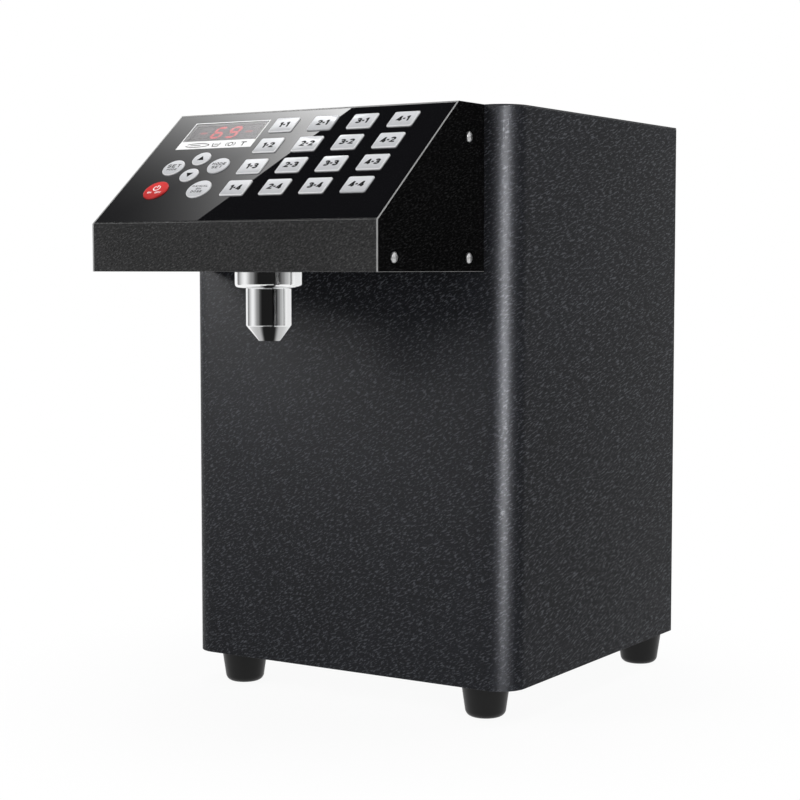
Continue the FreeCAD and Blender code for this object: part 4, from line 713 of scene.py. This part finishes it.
def face_place(node):
    """Matrix at the middle of a node's outer face on the slope."""
    points = [vert.co for vert in NODES[node].data.vertices]
    height = max(point.dot(OUT) for point in points)
    face = [point for point in points if height - point.dot(OUT) < 0.01 * MM]
    across = [point.dot(ACROSS) for point in face]
    uphill = [point.dot(UPHILL) for point in face]
    middle = (ACROSS * (min(across) + max(across)) + UPHILL * (min(uphill) + max(uphill))) / 2
    return Matrix.Translation(middle + OUT * height) @ SLOPE_TURN


def slab(shell, outline, material=0):
    """Printed patch of a flat outline, counter-clockwise."""
    low = [shell.verts.new((x * MM, y * MM, 0.0)) for x, y in outline]
    high = [shell.verts.new((x * MM, y * MM, PRINT)) for x, y in outline]
    faces = [shell.faces.new(high), shell.faces.new(low[::-1])]
    for face in faces + ringed(shell, low, high):
        face.material_index = material


def oblong(shell, left, low, right, high):
    """Printed rectangle."""
    slab(shell, [(left, low), (right, low), (right, high), (left, high)])


def arc(centre, radii, first, last, steps=10):
    """Points of an elliptical arc between two angles in degrees."""
    angles = [math.radians(first + (last - first) * k / steps) for k in range(steps + 1)]
    return [(centre[0] + radii[0] * math.cos(angle), centre[1] + radii[1] * math.sin(angle))
            for angle in angles]


def ribbon(shell, path, width, material=0):
    """Printed line of one width along a path; a path that ends where it starts is closed."""
    points = [Vector(point) for point in path]
    closed = (points[0] - points[-1]).length < SAME_POINT
    if closed:
        points.pop()
    count = len(points)
    left, right = [], []
    for k, point in enumerate(points):
        ways = []
        if closed or k > 0:
            ways.append((point - points[k - 1]).normalized())
        if closed or k < count - 1:
            ways.append((points[(k + 1) % count] - point).normalized())
        way = sum(ways, Vector((0, 0))).normalized()
        reach = Vector((-way.y, way.x)) * width / 2 / max(MITRE, way.dot(ways[0]))
        left.append(point + reach)
        right.append(point - reach)
    rows = [[shell.verts.new((spot.x * MM, spot.y * MM, height)) for spot in side]
            for side in (left, right) for height in (0.0, PRINT)]
    low_left, high_left, low_right, high_right = rows
    sides = ((high_right, high_left), (low_left, low_right), (high_left, low_left),
             (low_right, high_right))
    faces = []
    for k in range(count if closed else count - 1):
        j = (k + 1) % count
        faces += [(one[k], one[j], other[j], other[k]) for one, other in sides]
    if not closed:
        faces.append([row[0] for row in (low_left, low_right, high_right, high_left)])
        faces.append([row[-1] for row in (low_right, low_left, high_left, high_right)])
    for corners in faces:
        shell.faces.new(corners).material_index = material


def printed(name, shell, place, materials, body, slot):
    """Piece from a drawn patch on a face."""
    mesh = meshed(shell, name)
    for material in materials:
        mesh.materials.append(material)
    mesh.transform(place)
    fasten(new_object(name, mesh), body, slot)


NUMERAL_HEIGHT = 5.8
NUMERAL_LINE = 1.5
NUMERAL_GAP = 0.45
NUMERALS = {  # width and lines of each wide numeral, from its lower left corner
    "1": (2.8, [[(0.5, 4.2), (1.9, 5.2)], [(2.1, 0.0), (2.1, 5.8)]]),
    "2": (4.4, [arc((2.2, 4.0), (1.5, 1.12), 165, -35) + [(0.95, 0.66), (4.3, 0.66)]]),
    "3": (4.3, [arc((2.0, 4.06), (1.55, 1.06), 155, -90) + [(1.4, 3.0)],
                [(1.4, 3.0)] + arc((2.0, 1.84), (1.65, 1.18), 90, -155)]),
    "4": (4.6, [[(4.5, 1.55), (0.95, 1.55), (2.9, 5.0)], [(3.2, 0.0), (3.2, 5.8)]]),
    "-": (1.9, [[(0.0, 2.8), (1.9, 2.8)]]),
}
CAPITALS = {  # lines of each capital in a box one wide and one high
    "A": [[(0, 0), (0.5, 1), (1, 0)], [(0.2, 0.33), (0.8, 0.33)]],
    "D": [[(0, 0), (0.55, 0), (1, 0.3), (1, 0.7), (0.55, 1), (0, 1), (0, 0)]],
    "E": [[(1, 1), (0, 1), (0, 0), (1, 0)], [(0, 0.5), (0.85, 0.5)]],
    "F": [[(1, 1), (0, 1), (0, 0)], [(0, 0.5), (0.8, 0.5)]],
    "L": [[(0, 1), (0, 0), (1, 0)]],
    "M": [[(0, 0), (0, 1), (0.5, 0.35), (1, 1), (1, 0)]],
    "N": [[(0, 0), (0, 1), (1, 0), (1, 1)]],
    "O": [[(0.3, 0), (0.7, 0), (1, 0.3), (1, 0.7), (0.7, 1), (0.3, 1), (0, 0.7), (0, 0.3),
           (0.3, 0)]],
    "S": [[(1, 0.82), (0.8, 1), (0.2, 1), (0, 0.82), (0, 0.65), (0.2, 0.5), (0.8, 0.5),
           (1, 0.35), (1, 0.18), (0.8, 0), (0.2, 0), (0, 0.18)]],
    "T": [[(0, 1), (1, 1)], [(0.5, 1), (0.5, 0)]],
    "U": [[(0, 1), (0, 0.2), (0.25, 0), (0.75, 0), (1, 0.2), (1, 1)]],
}
LETTER_SPACE = 2.1  # from one capital to the next, in line widths


def key_number(node):
    """Column and row number on a portion key."""
    column, row = node.split("_")[-2:]
    marks = [NUMERALS[mark] for mark in (column, "-", row)]
    start = -(sum(width for width, _ in marks) + NUMERAL_GAP * (len(marks) - 1)) / 2
    shell = bmesh.new()
    for width, lines in marks:
        for line in lines:
            ribbon(shell, [(start + x, y - NUMERAL_HEIGHT / 2) for x, y in line], NUMERAL_LINE)
        start += width + NUMERAL_GAP
    name = "number_%s_%s" % (column, row)
    printed(name, shell, face_place(node), [BLACK_INK], node, "key_silver")


def lettered(shell, text, height, width, line, pitch, start, middle):
    """Printed capitals from a start across, round a middle up."""
    for index, letter in enumerate(text):
        for path in CAPITALS[letter]:
            ribbon(shell, [(start + index * pitch + x * width, middle + (y - 0.5) * height)
                           for x, y in path], line)


def word(shell, text, height, width, line, middle):
    """Printed capitals, centred across."""
    pitch = width + LETTER_SPACE * line
    start = -(len(text) * pitch - LETTER_SPACE * line) / 2
    lettered(shell, text, height, width, line, pitch, start, middle)


def button_words(node, *lines):
    """Lines of capitals on a round button: text, height, width, line width and middle of each."""
    shell = bmesh.new()
    for line in lines:
        word(shell, *line)
    name = node.replace("button", "words")
    printed(name, shell, face_place(node), [BLACK_INK], node, "key_silver")


def arrow(name, node, way):
    """Solid triangle that points up or down."""
    shell = bmesh.new()
    slab(shell, [(-2.9 * way, -2.1 * way), (2.9 * way, -2.1 * way), (0, 2.7 * way)])
    printed(name, shell, face_place(node), [BLACK_INK], node, "key_silver")


def power_symbol():
    """Broken ring with a bar, and the words under it."""
    shell = bmesh.new()
    ribbon(shell, arc((0, 2.0), (2.6, 2.6), 125, 415, 24), 0.9)
    ribbon(shell, [(0, 2.2), (0, 5.4)], 0.9)
    for text, start in (("ON", -5.2), ("OFF", 1.4)):
        lettered(shell, text, 1.7, 1.2, 0.42, 1.9, start, -3.05)
    printed("power_symbol", shell, face_place("power_button"), [WHITE_INK], "power_button",
            "key_red")


for node in KEY_JOINTS:
    if node.startswith("portion_key_"):
        key_number(node)
arrow("up_arrow", "up_button", 1)
arrow("down_arrow", "down_button", -1)
button_words("set_button", ("SET", 3.0, 2.6, 0.75, 1.6), ("MODE", 1.7, 1.5, 0.42, -2.4))
button_words("mode_button", ("MODE", 2.3, 1.9, 0.6, 1.8), ("SET", 2.3, 1.9, 0.6, -2.0))
button_words("manual_button", ("MANUAL", 1.8, 1.4, 0.45, 3.0), ("ON", 1.8, 1.4, 0.5, 0.0),
             ("DOSE", 1.8, 1.5, 0.5, -3.2))
power_symbol()

# Display: a white frame round the lens, an icon strip below it and the digits behind it
LENS = face_place("display_window")
lens_low, lens_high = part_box("display_window")
LENS_HALF_WIDTH = (lens_high.x - lens_low.x) / 2 / MM
LENS_HALF_HEIGHT = (lens_high.z - lens_low.z) / 2 / MM / UPHILL.z
FRAME_LINE = 0.9
FRAME_CLEAR = 0.1  # between the lens's sides and the frame
FRAME_LAP = 0.2  # of the frame over the lens's upper and lower edge
STRIP_HEIGHT = 8.5


def display_frame():
    """White line round the lens, widened to a strip below it."""
    shell = bmesh.new()
    x, y = LENS_HALF_WIDTH + FRAME_CLEAR, LENS_HALF_HEIGHT - FRAME_LAP
    out_x, out_y = x + FRAME_LINE, y + FRAME_LINE
    foot = -out_y - STRIP_HEIGHT
    oblong(shell, -out_x, y, out_x, out_y)
    oblong(shell, -out_x, -out_y, -x, y)
    oblong(shell, x, -out_y, out_x, y)
    oblong(shell, -out_x, foot, out_x, -y)
    printed("display_frame_print", shell, LENS, [WHITE_INK], "casing", "overlay_gloss")


def icon_strip():
    """Small pictures on the strip: a long spoon, a cup, a dial and a tap."""
    shell = bmesh.new()
    spoon, cup, dial, tap = (LENS_HALF_WIDTH * share for share in (-0.50, 0.02, 0.42, 0.76))
    ribbon(shell, arc((spoon, 0), (10.5, 2.1), 150, -165, 30), 0.7)
    ribbon(shell, [(spoon - 6, 0), (spoon + 3, 0)], 0.6)
    ribbon(shell, [(cup - 3.2, 1.8), (cup - 2.3, -1.9), (cup + 2.3, -1.9), (cup + 3.2, 1.8)], 0.7)
    ribbon(shell, [(cup - 1.6, 0.6), (cup + 1.6, 0.6)], 0.7)
    ribbon(shell, arc((dial, 0), (1.9, 1.9), 0, 360, 20), 0.7)
    ribbon(shell, arc((dial, 0), (3.9, 2.9), 140, 220, 8), 0.6)
    ribbon(shell, arc((dial, 0), (3.9, 2.9), -40, 40, 8), 0.6)
    ribbon(shell, [(tap - 2.3, 1.9), (tap + 2.3, 1.9)], 0.9)
    ribbon(shell, [(tap, 1.45), (tap, -2.4)], 0.9)
    middle = -LENS_HALF_HEIGHT - FRAME_LINE - STRIP_HEIGHT / 2 + 0.2
    place = LENS @ Matrix.Translation((0, middle * MM, PRINT))
    printed("icon_strip_print", shell, place, [BLACK_INK], "casing", "overlay_gloss")


SEGMENT_PLACES = {  # middle in half widths and half heights, and whether upright
    "a": (0, 1, 0), "b": (1, 0.5, 1), "c": (1, -0.5, 1), "d": (0, -1, 0), "e": (-1, -0.5, 1),
    "f": (-1, 0.5, 1), "g": (0, 0, 0),
}
DIGITS = (("", "g"), ("acdefg", ""), ("abcdfg", ""), ("", "g"))  # lit and faint segments
DIGIT_PITCH = 13.6
DIGIT_HALF_WIDTH = 3.7
DIGIT_HALF_HEIGHT = 5.9
DIGIT_LEAN = 0.14
SEGMENT_HALF = 1.15  # half a segment's width
SEGMENT_GAP = 0.25  # from a segment's tip to the corner of its digit
SEGMENT_OUTLINE = 0.35


def digits():
    """Four seven-segment digits on the display module."""
    shell = bmesh.new()
    for index, (lit, faint) in enumerate(DIGITS):
        middle = (index - 1.5) * DIGIT_PITCH
        for segment, (x, y, upright) in SEGMENT_PLACES.items():
            reach = (DIGIT_HALF_HEIGHT / 2 if upright else DIGIT_HALF_WIDTH) - SEGMENT_GAP
            tip = reach - SEGMENT_HALF
            bar = [(-reach, 0), (-tip, -SEGMENT_HALF), (tip, -SEGMENT_HALF), (reach, 0),
                   (tip, SEGMENT_HALF), (-tip, SEGMENT_HALF)]
            if upright:
                bar = [(-b, a) for a, b in bar]
            bar = [(a + x * DIGIT_HALF_WIDTH, b + y * DIGIT_HALF_HEIGHT) for a, b in bar]
            bar = [(middle + a + DIGIT_LEAN * b, b) for a, b in bar]
            if segment in lit + faint:
                slab(shell, bar, 0 if segment in lit else 1)
            else:
                ribbon(shell, bar + bar[:1], SEGMENT_OUTLINE, 2)
    printed("display_digits", shell, face_place("display_module"),
            [RED_LIGHT, FAINT_LIGHT, DARK_SEGMENT], "casing", "module_plastic")


display_frame()
icon_strip()
digits()

MARK_RISE = 6.0 * MM  # from the rocker's middle to each mark
FAR_BEHIND = 1.0  # Y well behind the machine


def rocker_face(middle, side):
    """Matrix on the upper or lower half of the rocker's face, looking out of the rear panel."""
    shell = flattened("power_rocker")
    start = Vector((middle.x, FAR_BEHIND, middle.z + side * MARK_RISE))
    point, normal, _, _ = BVHTree.FromBMesh(shell).ray_cast(start, Vector((0, -1, 0)))
    shell.free()
    across = Vector((-1, 0, 0))
    turn = Matrix((across, normal.cross(across), normal)).transposed().to_4x4()
    return Matrix.Translation(point) @ turn


def rocker_marks():
    """Bar and ring for on and off, on the faces of the rear rocker."""
    low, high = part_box("power_rocker")
    bar, ring = bmesh.new(), bmesh.new()
    oblong(bar, -0.35, -1.6, 0.35, 1.6)
    ribbon(ring, arc((0, 0), (1.4, 1.4), 0, 360, 24), 0.6)
    for name, shell, side in (("rocker_on_mark", bar, 1), ("rocker_off_mark", ring, -1)):
        place = rocker_face((low + high) / 2, side)
        printed(name, shell, place, [WHITE_INK], "rocker", "rocker_plastic")


rocker_marks()


# ---- paint of the studio
FLOOR_WIDTH = 12.0
FLOOR_TONE = (0.80, 0.80, 0.80, 1)
NEAR_FLOOR = 0.12  # reach of the part of the floor that shows most shadow
FAR_FLOOR = 0.40  # from here on the floor is pure white
NEAR_WHITE = 0.93  # share of pure white near the object
SKY_LIGHT = 0.45  # strength of the sky as a light


def blank_tree(holder):
    """Empty shader tree of a material or a world."""
    holder.use_nodes = True
    holder.node_tree.nodes.clear()
    return holder.node_tree


def either_ray(tree, *kinds):
    """1 where a ray is of one of these kinds."""
    rays = add(tree, "ShaderNodeLightPath").outputs
    result = rays[kinds[0]]
    for kind in kinds[1:]:
        result = worked(tree, "MAXIMUM", result, rays[kind])
    return result


def floor_paint():
    """White to the camera away from the object, and a matt pale floor that keeps its shadow."""
    material = bpy.data.materials.new("floor")
    tree = blank_tree(material)
    place = add(tree, "ShaderNodeTexCoord").outputs["Object"]
    reach = add(tree, "ShaderNodeVectorMath", {0: place}, operation="LENGTH").outputs["Value"]
    far = ranged(tree, reach, NEAR_FLOOR, FAR_FLOOR, NEAR_WHITE, 1.0)
    share = worked(tree, "MULTIPLY", far, either_ray(tree, "Is Camera Ray", "Is Glossy Ray"))
    matt = add(tree, "ShaderNodeBsdfDiffuse", {"Color": FLOOR_TONE})
    white = add(tree, "ShaderNodeEmission", {"Color": WHITE, "Strength": 1.0})
    mix = add(tree, "ShaderNodeMixShader", {0: share, 1: matt.outputs[0], 2: white.outputs[0]})
    add(tree, "ShaderNodeOutputMaterial", {0: mix.outputs[0]})
    return material


def card_paint(name, brightness, one_sided=False):
    """Glow of a card; brightness works its strength out from the card's two directions."""
    material = bpy.data.materials.new(name)
    tree = blank_tree(material)
    corner = add(tree, "ShaderNodeTexCoord").outputs["UV"]
    place = add(tree, "ShaderNodeSeparateXYZ", {0: corner}).outputs
    strength = brightness(tree, place["X"], place["Y"])
    shader = add(tree, "ShaderNodeEmission", {"Color": WHITE, "Strength": strength})
    if one_sided:
        behind = add(tree, "ShaderNodeNewGeometry").outputs["Backfacing"]
        clear = add(tree, "ShaderNodeBsdfTransparent")
        shader = add(tree, "ShaderNodeMixShader",
                     {0: behind, 1: shader.outputs[0], 2: clear.outputs[0]})
    add(tree, "ShaderNodeOutputMaterial", {0: shader.outputs[0]})
    return material


def even(level):
    """The same brightness all over a card."""
    return lambda tree, along, up: level


def window_fall(tree, along, up):
    """Bright at the upper end of the far side, falling off towards the near lower corner."""
    near = worked(tree, "MULTIPLY", along, 0.35)
    both = worked(tree, "MULTIPLY_ADD", up, 0.65, near)
    return worked(tree, "MULTIPLY_ADD", worked(tree, "POWER", both, 3.0), 6.0, 0.06)


def stops(*places):
    """Brightness along a card, eased between (place, brightness) pairs; the first two pairs are
    the card's ends."""
    def brightness(tree, along, up):
        ramp = add(tree, "ShaderNodeValToRGB", {"Fac": along})
        band = ramp.color_ramp
        band.interpolation = "EASE"
        for index, (place, level) in enumerate(places):
            mark = band.elements[index] if index < 2 else band.elements.new(place)
            mark.position = place
            mark.color = (level, level, level, 1.0)
        return ramp.outputs["Color"]
    return brightness


# ---- stage, lamps and camera
MIDDLE = Vector((0, 0, 0.22))
CAMERA_PLACE = Vector((0.75093, -1.16827, 0.31851))
CAMERA_TURN = (math.radians(85.888), 0, math.radians(32.544))
CAMERA_LENS = 82.68  # millimetres, on a sensor of this width
SENSOR_WIDTH = 36.0


def studio_floor():
    shell = bmesh.new()
    bmesh.ops.create_grid(shell, x_segments=1, y_segments=1, size=FLOOR_WIDTH / 2)
    mesh = meshed(shell, "studio_floor")
    mesh.materials.append(floor_paint())
    new_object("studio_floor", mesh)


def studio_sky():
    """White to the camera and in reflections, and a soft even light for the rest."""
    world = bpy.data.worlds.new("studio")
    bpy.context.scene.world = world
    tree = blank_tree(world)
    mirrored = either_ray(tree, "Is Camera Ray", "Is Transmission Ray", "Is Glossy Ray")
    light = add(tree, "ShaderNodeBackground", {"Color": WHITE, "Strength": SKY_LIGHT})
    white = add(tree, "ShaderNodeBackground", {"Color": WHITE, "Strength": 1.0})
    either = add(tree, "ShaderNodeMixShader",
                 {0: mirrored, 1: light.outputs[0], 2: white.outputs[0]})
    add(tree, "ShaderNodeOutputWorld", {0: either.outputs[0]})


def softbox(name, place, width, height, watts):
    """Soft lamp that looks at the machine's middle."""
    lamp = bpy.data.lights.new(name, "AREA")
    lamp.shape = "RECTANGLE"
    lamp.size = width
    lamp.size_y = height
    lamp.energy = watts
    aim = (MIDDLE - Vector(place)).to_track_quat("-Z", "Y")
    new_object(name, lamp).matrix_world = Matrix.Translation(place) @ aim.to_matrix().to_4x4()


def product_camera():
    lens = bpy.data.cameras.new("product_camera")
    lens.lens = CAMERA_LENS
    lens.sensor_width = SENSOR_WIDTH
    camera = new_object("product_camera", lens)
    camera.location = CAMERA_PLACE
    camera.rotation_euler = CAMERA_TURN
    bpy.context.scene.camera = camera


def card(name, rows, paint):
    """Card through two rows of corners, lower then upper, seen only in reflections."""
    low, high = rows
    count = len(low)
    mesh = bpy.data.meshes.new(name)
    faces = [(k, k + 1, count + k + 1, count + k) for k in range(count - 1)]
    mesh.from_pydata(list(low) + list(high), [], faces)
    uv = mesh.uv_layers.new(name="card")
    for loop in mesh.loops:
        row, column = divmod(loop.vertex_index, count)
        uv.data[loop.index].uv = (column / (count - 1), row)
    mesh.materials.append(paint)
    obj = new_object(name, mesh)
    obj.visible_camera = False
    obj.visible_diffuse = False
    obj.visible_shadow = False
    obj.visible_transmission = False
    return obj


def upright(start, end, low, high):
    """Rows of an upright card between two places on the floor."""
    return [[(x, y, height) for x, y in (start, end)] for height in (low, high)]


def curved(centre, radius, first, last, low, high, steps=24):
    """Rows of a card bent round an upright axis, between two angles in degrees."""
    spots = arc(centre, (radius, radius), first, last, steps)
    return [[(x, y, height) for x, y in spots] for height in (low, high)]


def mirrored_spot(across, uphill, reach):
    """Place that the camera sees mirrored at a point of the overlay, in millimetres along and up
    the slope; reach is how far behind the overlay it seems, against the camera's distance."""
    low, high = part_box("keypad_overlay")
    point = Vector(((low.x + high.x) / 2 + across * MM, low.y, low.z)) + UPHILL * uphill * MM
    behind = CAMERA_PLACE - OUT * 2 * OUT.dot(CAMERA_PLACE - point)
    return behind + (point - behind) * reach


def mirrored_card(name, corners, reach, paint):
    """Card that the camera sees mirrored between four points of the overlay."""
    spots = [mirrored_spot(across, uphill, reach) for across, uphill in corners]
    card(name, [spots[:2], spots[2:]], paint)


def shines_on_casing(obj):
    """Let a card be seen glowing only in the casing's skin."""
    group = bpy.data.collections.new(obj.name + "_receivers")
    group.objects.link(CASING_SKIN)
    obj.light_linking.receiver_collection = group


studio_floor()
softbox("front_left_softbox", (-1.3, -1.7, 1.3), 1.0, 1.0, 20.0)
softbox("right_strip", (1.75, -1.05, 0.55), 0.22, 1.3, 9.0)
softbox("top_softbox", (0.0, 0.3, 1.9), 1.4, 1.0, 16.0)

# A window with a slanted edge is mirrored over the keypad's left half, and black over the rest
BLACK_CARD = card_paint("card_black", even(0.0))
mirrored_card("window_card", ((-125, -12), (-32, -12), (-125, 140), (41, 140)), 1.15,
              card_paint("card_window", window_fall))
mirrored_card("keypad_flag", ((-420, -330), (420, -330), (-420, 420), (420, 420)), 1.3,
              BLACK_CARD)

# A tall strip off the casing's right front corner glows in it, and flags darken the coat beside it
wrap_low, wrap_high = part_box("body_wrap")
RIGHT, FRONT = wrap_high.x, wrap_low.y
FLOOR_GAP = 0.001  # cards that reach down stop just above the floor
corner_card = card("corner_card", upright((RIGHT + 0.2646, FRONT - 0.424),
                                          (RIGHT + 0.4066, FRONT - 0.2888), FLOOR_GAP, 0.6),
                   card_paint("card_corner", even(110.0)))
shines_on_casing(corner_card)
card("corner_flag", upright((0.004, FRONT - 0.174), (RIGHT, FRONT - 0.174), FLOOR_GAP, 0.25),
     BLACK_CARD)
card("corner_flag_above", upright((0.119, FRONT - 0.05), (RIGHT, FRONT - 0.05), 0.25, 0.5),
     BLACK_CARD)

# A soft light high in front of the casing pales the upper part of its face
front_card = card("front_card", curved((0, 0), 1.1, -165, -108, 0.47, 1.2),
                  card_paint("card_front", even(75.0)))
shines_on_casing(front_card)

# The nozzle mirrors a dark stripe that fades to bright on both sides, a bright wall behind it,
# and under its tip the stripe's foot
collar_low, collar_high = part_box("nozzle_collar")
NOZZLE_AXIS = ((collar_low.x + collar_high.x) / 2, (collar_low.y + collar_high.y) / 2)
FACING = Vector((CAMERA_PLACE.x - NOZZLE_AXIS[0], CAMERA_PLACE.y - NOZZLE_AXIS[1], 0)).normalized()
BESIDE = Vector((-FACING.y, FACING.x, 0))
UNDER_TIP = Vector((*NOZZLE_AXIS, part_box("nozzle_barrel")[0].z)) - Vector((0, 0, 0.03))
card("nozzle_stripe", curved(NOZZLE_AXIS, 0.9, -185, 31, 0.1, 0.45),
     card_paint("card_stripe", stops((0.0, 0.20), (1.0, 0.80), (0.198, 0.95), (0.332, 0.27),
                                     (0.402, 0.05), (0.437, 0.012), (0.752, 0.013),
                                     (0.82, 0.24), (0.87, 0.46), (0.937, 0.66))))
card("nozzle_wall", upright((0.035, FRONT - 0.0015), (RIGHT, FRONT - 0.0015), 0.15, 0.316),
     card_paint("card_wall", even(0.88), one_sided=True))
card("nozzle_tip_stripe", [[tuple(UNDER_TIP + FACING * near + BESIDE * side)
                            for side in (-0.07, 0.07)] for near in (-0.055, 0.055)],
     card_paint("card_tip", stops((0.0, 1.0), (1.0, 1.1), (0.28, 0.5), (0.38, 0.015),
                                  (0.59, 0.015), (0.70, 0.55))))

studio_sky()
product_camera()
bpy.context.scene.view_settings.view_transform = "Standard"
